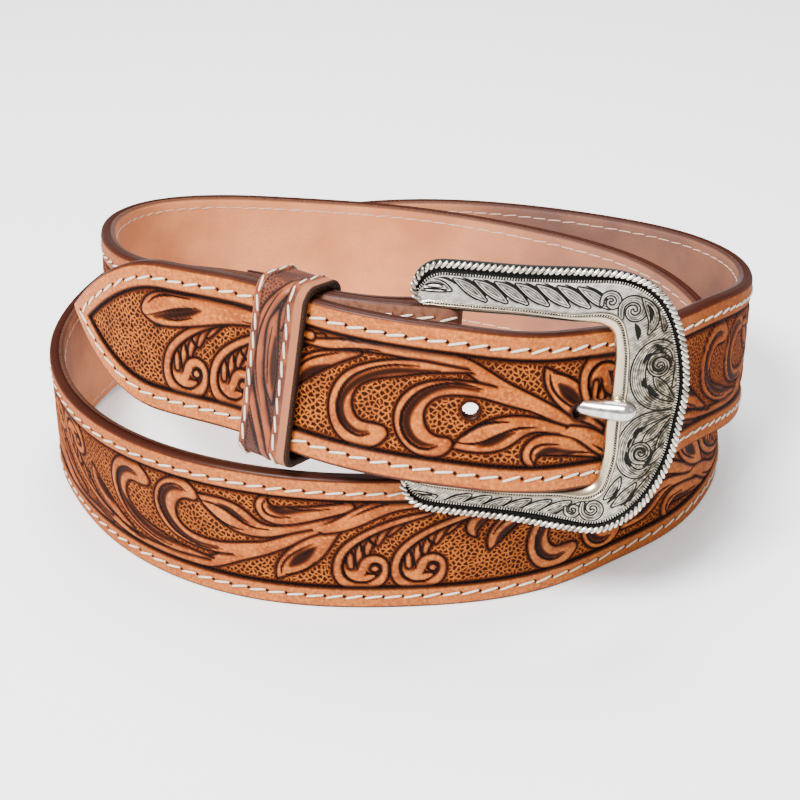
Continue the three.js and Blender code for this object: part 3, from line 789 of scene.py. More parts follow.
@dataclass(frozen=True)
class TooledLeather:
    """Carved tan leather with dark paste left in its cuts, painted shade towards the edges of raised
    strokes and over stretches in shade, and painted highlight specks.
    """

    name: str = "tooled_leather"
    tan: tuple = (0.281, 0.059, 0.0067)
    light: tuple = (0.488, 0.13, 0.0163)
    ridge: tuple = (0.281, 0.07, 0.0126)
    pit: tuple = (0.0133, 0.0026, 0.001)
    burnt: tuple = (0.067, 0.0111, 0.0026)
    dark: tuple = (0.0048, 0.0009, 0.0004)
    burnished: tuple = (0.025, 0.0048, 0.0021)
    border: tuple = (0.488, 0.141, 0.031)
    # Lighter colour laid on the grain's specks as painted highlights.
    wear_and_sheen: tuple = (0.66, 0.24, 0.052)
    waxed: tuple = (0.17, 0.078, 0.052)
    # Dark colour painted where the strap lies in shade.
    darkened: tuple = (0.092, 0.016, 0.0048)

    def make(self) -> bpy.types.Material:
        """Builds the material."""
        p = Paint(self.name)
        cut, ground, edge, rim, rib, age = p.numbers("cut", "ground", "edge", "border", "rib", "age")
        mottle = p.noise(0.13, 4).step(0.36, 0.64)
        grain = p.noise(2.6, 3)
        fibre = p.noise(0.7, 5)
        speck = p.noise(1.1, 4)
        smooth_side = p.layers(
            self.tan,
            (self.light, mottle),
            (self.border, rim * 0.6),
            (self.tan, (1 - grain.step(0.38, 0.55)) * 0.5),
            (self.burnt, (1 - fibre.step(0.28, 0.5)) * 0.30),
            (self.burnt, (1 - speck.step(0.34, 0.50)) * 0.34),
            # Painted highlight specks.
            (self.wear_and_sheen, speck.step(0.54, 0.66) * 0.45),
            # Painted shade: raised strokes darker towards their edges, lighter along their crowns.
            (self.burnt, (1 - rib.step(0.0, 0.85)) * (0.45 + fibre * 0.7)),
        )
        shaken = p.node("ShaderNodeTexNoise", None, Scale=0.9, Vector=p.flat(), out="Color")
        shaken = p.node("ShaderNodeVectorMath", {"operation": "ADD"}, p.flat(0.72), shaken)
        ridge = 1 - p.cells(0.0, 0.82, 0.75, shaken).step(0.05, 0.30)
        stippled = p.layers(self.pit, (self.ridge, ridge), (self.light, ridge * mottle * 0.6))
        waxed = p.mix(self.waxed, self.burnt, (1 - fibre.step(0.30, 0.60)) * 0.55)
        colour = p.layers(
            smooth_side,
            (stippled, ground),
            # Painted shade over the stretches that lie in shade.
            (self.darkened, age * (0.26 + fibre * 0.5)),
            (self.burnt, cut.step(0.03, 0.5) * 0.9),
            (self.dark, cut.step(0.35, 0.9)),
            (waxed, rim.step(1.5, 2.8) * (1 - cut) * 0.92),
            # Burnished edges; on the fold round the bar the same colour is painted shade.
            (self.burnished, edge * (0.78 + grain * 0.3)),
        )
        rough = 0.46 + ground * 0.14 + grain * 0.12 + edge * 0.06 + age * 0.28
        height = ridge * ground * 0.95 + grain * 0.10
        gloss = (1 - cut.step(0.1, 0.6)) * (1 - ground) * (1 - age) * 0.16 + edge * 0.05
        return p.finish(colour, rough, height=height, relief=0.0005, shine=0.06, coat=gloss)


@dataclass(frozen=True)
class LiningLeather:
    """Plain inner leather, matt and a little mottled, with painted shade over stretches in shade."""

    name: str = "lining_leather"
    pale: tuple = (0.760, 0.285, 0.112)
    deep: tuple = (0.560, 0.190, 0.074)
    # Dark colour painted where the lining lies in shade.
    darkened: tuple = (0.140, 0.074, 0.062)
    burnished: tuple = (0.025, 0.0052, 0.0026)

    def make(self) -> bpy.types.Material:
        """Builds the material."""
        p = Paint(self.name)
        edge, age = p.numbers("edge", "age")
        cloudy = p.noise(0.035, 4).step(0.36, 0.66)
        fibre = p.noise(1.6, 5)
        colour = p.layers(
            self.pale,
            (self.deep, cloudy),
            (self.deep, (1 - fibre.step(0.36, 0.56)) * 0.4),
            # Painted shade over the stretches that lie in shade.
            (self.darkened, age * (0.80 + cloudy * 0.2)),
            (self.burnished, edge * (0.75 + fibre * 0.3)),
        )
        rough = 0.62 + fibre * 0.2 - edge * 0.2
        return p.finish(colour, rough, height=fibre, relief=0.00012, shine=0.15)


@dataclass(frozen=True)
class KeeperLeather:
    """Reddish brown tooled leather of the keeper loop, with painted highlights along its raised stems
    and partly painted shade on its right side.
    """

    name: str = "keeper_leather"
    brown: tuple = (0.081, 0.0163, 0.0067)
    # Lighter colour of the worn patches and of the painted highlights along raised stems.
    wear_and_sheen: tuple = (0.281, 0.063, 0.0148)
    pit: tuple = (0.022, 0.0059, 0.0037)
    dark: tuple = (0.0089, 0.003, 0.0022)
    raw: tuple = (0.296, 0.1, 0.041)

    def make(self) -> bpy.types.Material:
        """Builds the material."""
        p = Paint(self.name)
        cut, ground, edge, rib = p.numbers("cut", "ground", "edge", "rib")
        patches = p.noise(0.16, 4).step(0.40, 0.62)
        grain = p.noise(2.2, 4)
        fibre = p.noise(3.4, 3)
        pits = p.cells(0.5, 1.1, 0.8).step(0.05, 0.3)
        # Edges: raw leather turning dark towards the outer sides; the dark right side is partly its dark
        # edge and partly painted shade.
        side = p.mix(self.raw, self.dark, edge.step(0.45, 0.8) * (0.5 + fibre * 0.9))
        colour = p.layers(
            self.brown,
            (self.wear_and_sheen, patches * (0.3 + grain * 0.6)),
            # Painted highlights along the crowns of raised stems.
            (self.wear_and_sheen, rib.step(0.35, 1.0) * 0.55),
            (self.pit, pits * ground * 0.85),
            (self.dark, cut.step(0.05, 0.85) * 0.97),
            (side, edge.step(0.1, 0.35)),
        )
        rough = 0.46 + grain * 0.16 + edge * 0.2
        return p.finish(colour, rough, height=grain * 0.4 - pits * ground * 0.8 + fibre * edge,
                        relief=0.0003, shine=0.15, coat=(1 - cut) * (1 - edge) * 0.25)


@dataclass(frozen=True)
class Thread:
    """Waxed cream thread."""

    name: str = "cream_thread"
    cream: tuple = (0.688, 0.602, 0.49)
    shade: tuple = (0.447, 0.327, 0.224)

    def make(self) -> bpy.types.Material:
        """Builds the material."""
        p = Paint(self.name)
        twist = p.solid_noise(2200.0, 2.0)
        colour = p.mix(self.cream, self.shade, (1 - twist.step(0.35, 0.6)) * 0.5)
        return p.finish(colour, 0.6, height=twist, relief=0.00008)


@dataclass(frozen=True)
class EngravedSilver:
    """Silver with black left in the engraving."""

    name: str = "engraved_silver"
    bright: tuple = (0.76, 0.715, 0.63)
    warm: tuple = (0.58, 0.46, 0.31)
    grey: tuple = (0.088, 0.074, 0.054)
    black: tuple = (0.0057, 0.0057, 0.0049)
    rib_pitch: float = 0.5

    def make(self) -> bpy.types.Material:
        """Builds the material."""
        p = Paint(self.name)
        cut, ground, rib, bevel, darker_share = p.numbers("cut", "ground", "rib", "bevel", "darker_share")
        wear_and_sheen = p.noise(0.6, 4).step(0.40, 0.60)
        fine = p.noise(5.0, 2)
        wave = p.node("ShaderNodeMath", {"operation": "PINGPONG"}, rib, self.rib_pitch / 2)
        shaded = rib.step(0.02, 0.16)
        lines = (1 - (wave * (2 / self.rib_pitch)).step(0.15, 0.75)) * shaded
        hatch = p.node("ShaderNodeTexWave", None, p.flat(0.9), Scale=0.55, Distortion=2.6, Detail=1.0)
        field_lines = (1 - hatch.step(0.15, 0.6)) * ground * (0.22 + darker_share * 0.78)
        colour = p.layers(
            self.bright,
            (self.warm, darker_share * 0.9),
            (self.grey, (darker_share * 0.72 + 0.46) * (1 - wear_and_sheen * 0.68)),
            (self.warm, bevel),
            (self.black, (lines * 0.9).most(field_lines)),
            (self.black, cut.step(0.08, 0.7)),
        )
        rough = 0.27 + cut * 0.25 + fine * 0.06 - bevel * 0.04
        height = fine * 0.06 - lines * 0.5 - field_lines * 0.4
        return p.finish(colour, rough, metallic=1 - cut.step(0.2, 1.0) * 0.7, height=height,
                        relief=0.00012, shine=0.12)


@dataclass(frozen=True)
class PlainSilver:
    """Smooth silver of the rope, the bar and the tongue, dulled in patches."""

    name: str = "plain_silver"
    bright: tuple = (0.76, 0.71, 0.62)
    dull: tuple = (0.19, 0.16, 0.125)
    rough: float = 0.24

    def make(self) -> bpy.types.Material:
        """Builds the material."""
        p = Paint(self.name)
        wear = p.solid_noise(420.0, 5.0)
        fine = p.solid_noise(2600.0, 2.0)
        colour = p.mix(self.bright, self.dull, (1 - wear.step(0.36, 0.6)) * 0.75)
        return p.finish(colour, self.rough + wear * 0.12, metallic=1.0, height=fine, relief=0.000015)


class Sheet(NamedTuple):
    """A grid of points with what its materials need: flat coordinates and numbers at each point."""

    points: Array
    flat: Array
    numbers: dict


def stand(data: Union[bpy.types.Mesh, bpy.types.Camera, bpy.types.Light]) -> bpy.types.Object:
    """Puts a mesh, a camera or a lamp into the scene as an object of its own name.

    Args:
        data: the mesh, camera or lamp.

    Returns:
        The object.
    """
    thing = bpy.data.objects.new(data.name, data)
    bpy.context.scene.collection.objects.link(thing)
    return thing


def mesh_from_sheet(name: str, sheet: Sheet, ring: bool, keep: Optional[Array] = None,
                    caps: bool = False) -> bpy.types.Object:
    """Makes a mesh object from a grid of points.

    Args:
        name: the object's name.
        sheet: points (rows, columns, 3) in millimetres, their flat coordinates and numbers.
        ring: whether the last column joins the first.
        keep: faces to keep, as a grid of booleans.
        caps: whether the first and the last row are closed with a face.

    Returns:
        The object, in metres.
    """
    rows, columns = sheet.points.shape[:2]
    wide = columns if ring else columns - 1
    i, j = np.meshgrid(np.arange(rows - 1), np.arange(wide), indexing="ij")
    if keep is not None:
        i, j = i[keep], j[keep]
    i, j = i.ravel(), j.ravel()
    nxt = (j + 1) % columns
    corners = np.stack([i * columns + j, i * columns + nxt, (i + 1) * columns + nxt,
                        (i + 1) * columns + j], 1)
    at = np.stack([np.stack([i, j], 1), np.stack([i, j + 1], 1), np.stack([i + 1, j + 1], 1),
                   np.stack([i + 1, j], 1)], 1)
    mesh = bpy.data.meshes.new(name)
    loops = corners.ravel()
    starts = np.arange(len(corners)) * 4
    totals = np.full(len(corners), 4)
    if caps:
        first = np.arange(columns)[::-1]
        last = np.arange(columns) + (rows - 1) * columns
        loops = np.concatenate([loops, first, last])
        starts = np.concatenate([starts, [len(corners) * 4, len(corners) * 4 + columns]])
        totals = np.concatenate([totals, [columns, columns]])
    mesh.vertices.add(rows * columns)
    points = sheet.points.reshape(-1, 3).copy()
    points[:, 2] = np.maximum(points[:, 2], 0)
    mesh.vertices.foreach_set("co", (points * MM).astype(np.float32).ravel())
    mesh.loops.add(len(loops))
    mesh.loops.foreach_set("vertex_index", loops.astype(np.int32))
    mesh.polygons.add(len(starts))
    mesh.polygons.foreach_set("loop_start", starts.astype(np.int32))
    mesh.polygons.foreach_set("loop_total", totals.astype(np.int32))
    mesh.update(calc_edges=True)
    flat = sheet.flat
    if ring and flat.shape[1] == columns:
        flat = np.concatenate([flat, flat[:, :1]], 1)
    uv = flat[at[..., 0], at[..., 1]].reshape(-1, 2)
    if caps:
        ends = np.concatenate([flat[0, :columns][::-1], flat[-1, :columns]])
        uv = np.concatenate([uv, ends])
    layer = mesh.uv_layers.new(name="flat")
    layer.data.foreach_set("uv", (uv * MM).astype(np.float32).ravel())
    for key, values in sheet.numbers.items():
        attribute = mesh.attributes.new(key, "FLOAT", "POINT")
        attribute.data.foreach_set("value", np.ascontiguousarray(values, np.float32).ravel())
    mesh.shade_smooth()
    mesh.validate()
    return stand(mesh)


def declare(piece: bpy.types.Object, slot: Optional[str], material: bpy.types.Material,
            *nodes: str) -> None:
    """Dresses a piece, lets it ride and says which solids it stands for.

    Args:
        piece: the mesh object.
        slot: not used.
        material: its finish.
        *nodes: the solids that it replaces.
    """
    piece.data.materials.clear()
    piece.data.materials.append(material)
    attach(piece, "root")
    if nodes:
        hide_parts(*nodes)
    log.info("%s: %d faces", piece.name, len(piece.data.polygons))


@dataclass(frozen=True)
class Scatter:
    """Small rounded shapes set on points by Geometry Nodes, such as stitches, beads and rope turns."""

    name: str
    length: float
    width: float
    height: float
    slant: float = 0.0
    jitter: float = 0.0
    seed: int = 1
    segments: int = 8
    rings: int = 8

    def _tree(self) -> bpy.types.NodeTree:
        """Builds the node tree with its named inputs.

        Returns:
            The node tree.
        """
        tree = bpy.data.node_groups.new(self.name, "GeometryNodeTree")
        inputs = {"Geometry": "Geometry", "Length": "Float", "Width": "Float", "Height": "Float",
                  "Slant": "Float", "Jitter": "Float", "Seed": "Int", "Finish": "Material"}
        for label, kind in inputs.items():
            tree.interface.new_socket(label, in_out="INPUT", socket_type="NodeSocket" + kind)
        tree.interface.new_socket("Geometry", in_out="OUTPUT", socket_type="NodeSocketGeometry")
        t = Nodes(tree)
        given = {s.name: Wire(t, s) for s in tree.nodes.new("NodeGroupInput").outputs if s.name}
        vector = {"data_type": "FLOAT_VECTOR"}
        along, out = (t.node("GeometryNodeInputNamedAttribute", vector, Name=label)
                      for label in ("along", "out"))
        lying = t.node("FunctionNodeAlignRotationToVector", {"axis": "X"}, Vector=along)
        facing = t.node("FunctionNodeAlignRotationToVector", {"axis": "Z", "pivot_axis": "X"},
                        Rotation=lying, Vector=out)
        chance = t.node("FunctionNodeRandomValue", {"data_type": "FLOAT"}, Min=-1.0, Max=1.0,
                        Seed=given["Seed"])
        angle = t.node("ShaderNodeMath", {"operation": "MULTIPLY_ADD"}, chance, given["Jitter"],
                       given["Slant"])
        turn = t.node("FunctionNodeEulerToRotation", None, t.node("ShaderNodeCombineXYZ", Z=angle))
        turned = t.node("FunctionNodeRotateRotation", {"rotation_space": "LOCAL"}, facing, turn)
        ball = t.node("GeometryNodeMeshUVSphere", None, self.segments, self.rings, 0.5)
        lying_ball = t.node("GeometryNodeTransform", None, ball, Rotation=(0.0, math.pi / 2, 0.0))
        place = t.node("GeometryNodeInputPosition")
        x, y, z = (t.node("ShaderNodeSeparateXYZ", None, place, out=axis) for axis in "XYZ")
        bent = t.node("ShaderNodeMath", {"operation": "SINE"}, x * math.pi) * 0.5
        shape = t.node("GeometryNodeSetPosition", None, lying_ball,
                       Position=t.node("ShaderNodeCombineXYZ", None, bent, y, z))
        sizes = t.node("ShaderNodeCombineXYZ", None, given["Length"], given["Width"], given["Height"])
        shapes = t.node("GeometryNodeInstanceOnPoints", None, given["Geometry"], Instance=shape,
                        Rotation=turned, Scale=sizes)
        for kind in ("GeometryNodeRealizeInstances", "GeometryNodeSetShadeSmooth"):
            shapes = t.node(kind, None, shapes)
        dressed = t.node("GeometryNodeSetMaterial", None, shapes, Material=given["Finish"])
        tree.links.new(dressed.socket, tree.nodes.new("NodeGroupOutput").inputs["Geometry"])
        return tree

    def make(self, points: Array, along: Array, out: Array,
             material: bpy.types.Material) -> bpy.types.Object:
        """Sets one shape on each point.

        Args:
            points: places in millimetres, one row each.
            along: direction of each shape's length.
            out: direction of each shape's height.
            material: finish of the shapes.

        Returns:
            One plain mesh object.
        """
        seeds = bpy.data.meshes.new(self.name + "_points")
        seeds.from_pydata((points * MM).tolist(), [], [])
        for label, rows in (("along", along), ("out", out)):
            attribute = seeds.attributes.new(label, "FLOAT_VECTOR", "POINT")
            attribute.data.foreach_set("vector", np.ascontiguousarray(rows, np.float32).ravel())
        holder = stand(seeds)
        modifier = holder.modifiers.new(self.name, "NODES")
        modifier.node_group = self._tree()
        given = {"Length": self.length * MM, "Width": self.width * MM, "Height": self.height * MM,
                 "Slant": math.radians(self.slant), "Jitter": math.radians(self.jitter),
                 "Seed": self.seed, "Finish": material}
        for item in modifier.node_group.interface.items_tree:
            if item.in_out == "INPUT" and item.name in given:
                modifier[item.identifier] = given[item.name]
        evaluated = holder.evaluated_get(bpy.context.evaluated_depsgraph_get())
        mesh = bpy.data.meshes.new_from_object(evaluated)
        bpy.data.objects.remove(holder)
        mesh.name = self.name
        places = np.empty(len(mesh.vertices) * 3, np.float32)
        mesh.vertices.foreach_get("co", places)
        places[2::3] = np.maximum(places[2::3], 0)
        mesh.vertices.foreach_set("co", places)
        return stand(mesh)


class Stretch(NamedTuple):
    """A stretch of the outer leather that becomes one piece, from and to distances from the tip."""

    name: str
    start: float
    stop: float
    step: float
    columns: int


STRETCHES = [Stretch(*row) for row in (
    ("tooled_front_end", 0.25, 70.0, 0.36, 108), ("tooled_front_right", 70.0, 170.0, 0.36, 108),
    ("tooled_right_round", 170.0, 545.0, 0.9, 72), ("tooled_left_front", 545.0, 668.0, 0.44, 92),
    ("tooled_front_low", 668.0, 795.0, 0.42, 100), ("tooled_hidden", 795.0, 1100.0, 0.9, 60),
)]

# Columns of a layer's hidden side as shares of its height, close where the tongue holes pass.
HIDDEN = np.concatenate([[0.2], np.linspace(0.43, 0.57, 15), [0.8]])


def rounded_section(start: Array, stop: Array, worked: Array, face: Union[Array, float], seam: float,
                    bend: Array) -> tuple[Array, Array, slice]:
    """Ring of a layer's section: its worked side between rounded edges, then its hidden side.

    Args:
        start: height of the edge that the worked side starts at.
        stop: height of the other edge.
        worked: heights of the worked side's columns.
        face: level of the worked side over the strap's plane.
        seam: level of the hidden side.
        bend: radius of the rounded edges.

    Returns:
        Heights over the mid-line, levels over the strap's plane and the worked side's columns.
    """
    turn = np.linspace(0, math.pi / 2, 6)[:-1]
    inward, outward = np.sign(stop - start), np.sign(face - seam)
    rise = inward * (bend * (1 - np.cos(turn)))
    rounded = face - outward * (bend * (1 - np.sin(turn)))
    level = np.full_like(start, seam)
    hidden = stop + (start - stop) * HIDDEN
    up = np.concatenate([start, start + rise, worked, (stop - rise)[:, ::-1], stop, hidden], 1)
    out = np.concatenate([level, rounded, face + 0 * worked, rounded[:, ::-1], level,
                          seam + 0 * hidden], 1)
    return up, out, slice(1 + len(turn), 1 + len(turn) + worked.shape[1])


@dataclass
class OuterLeather:
    """The carved outer leather, in stretches along the strap, with its buckle end."""

    strap: Strap
    border: float = 6.1
    stitch_inset: float = 3.8
    stitch_pitch: float = 4.76
    edge_round: float = 1.15
    line_inset: float = 0.3
    line_width: float = 0.68
    line_depth: float = 0.32
    scroll_reach: float = 110.0
    stitch_dent: float = 0.42
    stitch_lift: float = 0.9
    hole_dent: tuple = (2.5, 0.12)
    # Painted shade along the strap, as (distance from the tip, strength).
    shade_by_distance: tuple = ((0, 0.05), (150, 0.1), (190, 1.1), (240, 1.1), (545, 0.9), (580, 0.6), (620, 0.15),
                     (690, 0.2), (760, 0.8), (1040, 0.9), (1080, 0.5), (1116, 0.6), (1132, 1.0),
                     (1160, 1.0))
    meetings: tuple = (150, 255, 353, 451.5, 550, 648, 758, 866, 974, 1082)
    volutes_after: tuple = (7.0, 21.0)
    carving_end: float = 64.0
    slot: tuple = (3.2, -4.0)
    slot_before: float = 12.0
    slot_after: float = 9.0

    def stitch_rows(self) -> list[Array]:
        """Stitch centres (distance, height, direction x, direction y) of both rows.

        Returns:
            One array for the upper and one for the lower row.
        """
        rows = []
        for sign in (1, -1):
            line = self.strap.inset_line(self.stitch_inset, sign, self.strap.length + 5)
            near_bar = ease(self.strap.length - 34, self.strap.length - 20, line[:, 0])
            line[:, 1] += self.stitch_lift * sign * near_bar
            walked = travelled(line)
            count = int(walked[-1] / self.stitch_pitch)
            at = (np.arange(count) + 0.5) * self.stitch_pitch
            place = read_off(at, walked, line)
            ahead = read_off(at + 0.5, walked, line)
            rows.append(np.concatenate([place, unit(ahead - place)], 1))
        return rows

    def carve(self, x: Array, y: Array) -> tuple[Relief, Array]:
        """Works the scroll, the border line and the stitch holes over a grid.

        Args:
            x: distance from the tip at each point.
            y: height over the mid-line at each point.

        Returns:
            The worked surface and the share of plain border at each point.
        """
        relief = Relief(x, y)
        first, last = float(x.min()), float(x.max())
        for index, meeting in enumerate(self.meetings):
            if meeting + 3 < first or meeting - self.scroll_reach - 10 > last:
                continue
            flip = 1 if index % 2 == 0 else -1
            reach = meeting - self.meetings[index - 1] if index else self.scroll_reach
            self._scroll(relief, meeting, flip, min(reach + 5, self.scroll_reach))
        if first < 80:
            for stroke in TIP_BUD:
                relief.work(stroke)
        low, high = self.strap.edges(x)
        inside = np.minimum(high - y, y - low)
        near_tip = x < self.strap.tip_length + 8
        if near_tip.any():
            inside[near_tip] = self._tip_distance(x[near_tip], y[near_tip])
        past = ease(self.strap.length - self.carving_end, self.strap.length - self.carving_end + 1, x)
        panel = (inside - self.border) * (1 - past) - 3 * past
        within = ease(-0.15, 0.35, panel)
        line = np.exp(-((panel - self.line_inset) / self.line_width) ** 2)
        relief.height = relief.height * within - self.line_depth * line
        relief.cut = np.maximum(relief.cut * within, 0.95 * line)
        relief.cut = np.maximum(relief.cut, 0.62 * ease(2.2, 0.3, panel) * within)
        relief.ground *= within
        relief.rib = relief.rib * within + 2 * (1 - within)
        for row in self.stitch_rows():
            ends = row[:, :2] - row[:, 2:] * self.stitch_pitch / 2
            for px, py in ends[(row[:, 0] > first - 3) & (row[:, 0] < last + 3)]:
                relief.dent(px, py, self.stitch_dent, 0.35)
        for hole in self.strap.holes():
            if first - 5 < hole < last + 5:
                relief.dent(hole, 0.0, *self.hole_dent)
        return relief, 1 - within

    def _scroll(self, relief: Relief, meeting: float, flip: int, reach: float) -> None:
        """Works one length of scroll and its two volutes.

        Args:
            relief: the surface.
            meeting: where the stems of this length meet.
            flip: 1, or -1 for the length upside down.
            reach: distance back to where the stems of the length before meet.
        """
        shift = np.array([meeting, 0.0, 0.0])
        turn = np.array([1.0, flip, 1.0])
        first = -reach
        stem = Stroke(R, ((first - 5, 4.2, 2.2), (first, 6.4, 4.2), (first + 5, 9.2, 4.8),
                          (first + 11, 11.6, 4.0), (-88, 12.2, 3.0), (-78, 11.9, 2.4),
                          (-66, 12.2, 1.9), (-54, 12.7, 1.2), (-48, 12.8, 0.5)))
        vein = Stroke(L, ((first + 1, 8.0, 0.3), (first + 6, 10.8, 0.6), (first + 12, 12.6, 0.4)))
        root = Stroke(J, ((first - 7, 4.4, 1.4), (first - 1, 6.0, 2.6), (first + 3, 8.0, 2.0)))
        for stroke in [stem, vein, root, *SCROLL]:
            relief.work(stroke, lambda line: line * turn + shift)
        for after in self.volutes_after:
            bulb = np.array([meeting + first + after, -6.9 * flip, 0.0])
            for stroke in VOLUTE:
                relief.work(stroke, lambda line: line * turn + bulb)

    def _tip_distance(self, x: Array, y: Array) -> Array:
        """Distance inside the strap's outline near its tip.

        Args:
            x: distance of each point from the tip.
            y: height of each point over the mid-line.

        Returns:
            The distance to the nearest edge.
        """
        along = np.concatenate([np.geomspace(0.02, 46, 90), np.linspace(46.5, 60, 12)])
        best = np.full(x.shape, 99.0)
        for side in self.strap.edges(along):
            edge = np.stack([along, side], 1)
            for (ax, ay), (bx, by) in zip(edge[:-1], edge[1:]):
                dx, dy = bx - ax, by - ay
                part = np.clip(((x - ax) * dx + (y - ay) * dy) / (dx * dx + dy * dy), 0, 1)
                best = np.minimum(best, np.hypot(x - ax - part * dx, y - ay - part * dy))
        return best

    def section(self, distance: Array, columns: int) -> tuple[Array, Array, Array, slice]:
        """Ring of the section at each distance.

        Args:
            distance: distances from the tip.
            columns: number of points across the grain side.

        Returns:
            Heights over the mid-line, heights over the strap's plane, the share of burnished edge,
            and the columns of the grain side.
        """
        low, high = (edge[:, None] for edge in self.strap.edges(distance))
        bend = np.minimum(self.edge_round, (high - low) * 0.3)
        across = np.linspace(0, 1, columns)
        worked = (high - bend) * (1 - across) + (low + bend) * across
        up, out, face = rounded_section(high, low, worked, self.strap.face(distance)[:, None],
                                        self.strap.seam, bend)
        inside = np.minimum(high - up, up - low)
        edge = 1 - ease(0.15, 0.75, inside / self.edge_round * 0.75)
        return up, out, edge, face

    def stretch(self, part: Stretch) -> bpy.types.Object:
        """Makes one stretch of the outer leather, with the tongue holes that lie in it.

        Args:
            part: the stretch.

        Returns:
            The piece.
        """
        count = int((part.stop - part.start) / part.step) + 1
        distance = np.linspace(part.start, part.stop, count)
        up, out, edge, face = self.section(distance, part.columns)
        x, along, keep = open_holes(self.strap, distance, up, face)
        relief, border = self.carve(x[:, face] + along[:, face], up[:, face])
        out[:, face] += relief.height
        worked = {"cut": relief.cut, "ground": relief.ground, "border": border, "rib": relief.rib}
        # Painted shade along the strap where it lies in shade.
        numbers = {"edge": edge, "age": np.interp(x, *zip(*self.shade_by_distance))}
        numbers |= {key: over_face(up.shape, face, rows) for key, rows in worked.items()}
        flat = np.stack([x + along, up + 2 * (out - self.strap.outer_face) * (edge > 0.5)], -1)
        points = self.strap.frames(distance).place(up, out, along)
        return mesh_from_sheet(part.name, Sheet(points, flat, numbers), True, keep, True)

    def buckle_end(self, name: str, start: float) -> bpy.types.Object:
        """Makes the plain end round the bar and its tab, with the slot for the tongue.

        Args:
            name: the piece's name.
            start: its distance from the tip.

        Returns:
            The piece.
        """
        strap = self.strap
        turned = strap.length + math.pi * strap.bar_setback
        distance = np.concatenate([np.arange(start, strap.length - 14, 0.8),
                                   np.arange(strap.length - 14, turned + 12, 0.5),
                                   np.linspace(turned + 12, turned + strap.tab_length, 34)])
        slot_top, slot_foot = self.slot
        side, fall = np.array([19, 19, 18.9, 18.7]), np.array([2.5, 1.0, 0.32, 0.1])
        plain = np.concatenate([np.linspace(18.4, slot_top + 0.4, 16),
                                np.linspace(slot_top, slot_foot, 9),
                                np.linspace(slot_foot - 0.4, -18.4, 16)])
        up_row = np.concatenate([side, plain, -side[::-1]])
        top = strap.face(distance)[:, None] - np.concatenate([fall, 0 * plain, fall[::-1]])
        half = len(up_row)
        up = np.repeat(np.concatenate([up_row, up_row[::-1]])[None], len(distance), 0)
        out = np.concatenate([np.maximum(top, strap.seam + 0.05), np.full_like(top, strap.seam)], 1)
        x = np.repeat(distance[:, None], up.shape[1], 1)
        middle, centre = ((rows[:-1] + rows[1:]) / 2 for rows in (distance, up_row))
        in_slot = (middle > strap.length - self.slot_before) & (middle < turned + self.slot_after)
        over = (centre < slot_top) & (centre > slot_foot)
        keep = np.ones((len(distance) - 1, up.shape[1]), bool)
        keep[:, :half - 1] &= ~(in_slot[:, None] & over[None])
        keep[:, half:2 * half - 1] &= ~(in_slot[:, None] & over[::-1][None])
        relief = Relief(x[:, :half], up[:, :half])
        relief.height[:] = 0
        relief.ground[:] = 0
        for row in self.stitch_rows():
            for px, py in (row[:, :2] - row[:, 2:] * self.stitch_pitch / 2)[row[:, 0] > start - 2]:
                relief.dent(px, py, self.stitch_dent, 0.3)
        out[:, :half] += relief.height
        edge = np.tile(np.where(np.abs(up_row) > 18.6, 1.0, 0.0), 2)[None] + 0 * up
        zero = np.zeros_like(up)
        # Round the bar and along the tab the edge colour is laid at half strength: painted shade on the
        # fold.
        edge = np.maximum(edge, 0.5 * ease(strap.length + 2, strap.length + 9, x))
        numbers = {"edge": edge, "cut": over_face(up.shape, slice(half), relief.cut), "ground": zero,
                   "border": 1 + 2 * ease(strap.length - 60, strap.length - 36, x), "rib": zero + 2,
                   "age": zero}
        sheet = Sheet(strap.frames(distance).place(up, out), np.stack([x, up], -1), numbers)
        return mesh_from_sheet(name, sheet, True, keep, True)

    def hole_rims(self, name: str) -> bpy.types.Object:
        """Makes the dark walls of the tongue holes, through both layers.

        Args:
            name: the piece's name.

        Returns:
            The piece.
        """
        parts = []
        turn = np.linspace(0, 2 * math.pi, 33)[:-1]
        radius = self.strap.hole_radius
        ring = [(radius, -1.95), (radius, 1.9), (radius + 0.3, 1.7), (radius + 0.3, -1.8)]
        for hole in self.strap.holes():
            at = self.strap.frames(hole)
            rows = [at.place(r * np.sin(turn), np.full(32, n), r * np.cos(turn))[0] for r, n in ring]
            rows.append(rows[0])
            points = np.stack(rows)
            flat = np.stack([hole + points[..., 0] * 0.1, points[..., 2]], -1)
            ones = np.ones(points.shape[:2])
            numbers = {"edge": ones, "cut": ones * 0.4, "ground": ones * 0, "border": ones * 0}
            parts.append(mesh_from_sheet(f"{name}_{len(parts)}", Sheet(points, flat, numbers), True))
        return join(name, parts)


def open_hole(x: Array, y: Array, along: Array, face: slice, centre: float, radius: float) -> Array:
    """Opens a round hole in a grid: moves the points next to its rim onto it.

    Args:
        x: distance of each point from the tip.
        y: height of each point over the mid-line, changed in place.
        along: offset of each point along the strap, changed in place.
        face: columns of the side that the hole is opened in.
        centre: the hole's distance from the tip.
        radius: the hole's radius.

    Returns:
        The faces that stay, as a grid of booleans.
    """
    dx, dy = x[:, face] - centre, y[:, face]
    away = np.maximum(np.hypot(dx, dy), 1e-6)
    pitch = max(float(np.abs(np.diff(x[:, 0])).min()), float(np.abs(np.diff(y[0, face])).min()))
    near = np.abs(away - radius) < 0.62 * pitch
    along[:, face] += np.where(near, dx / away * radius - dx, 0)
    y[:, face] += np.where(near, dy / away * radius - dy, 0)
    inside = (away < radius + 0.62 * pitch)
    gone = inside[:-1, :-1] & inside[1:, :-1] & inside[:-1, 1:] & inside[1:, 1:]
    keep = np.ones((x.shape[0] - 1, x.shape[1]), bool)
    keep[:, face.start:face.stop - 1] = ~gone
    return keep


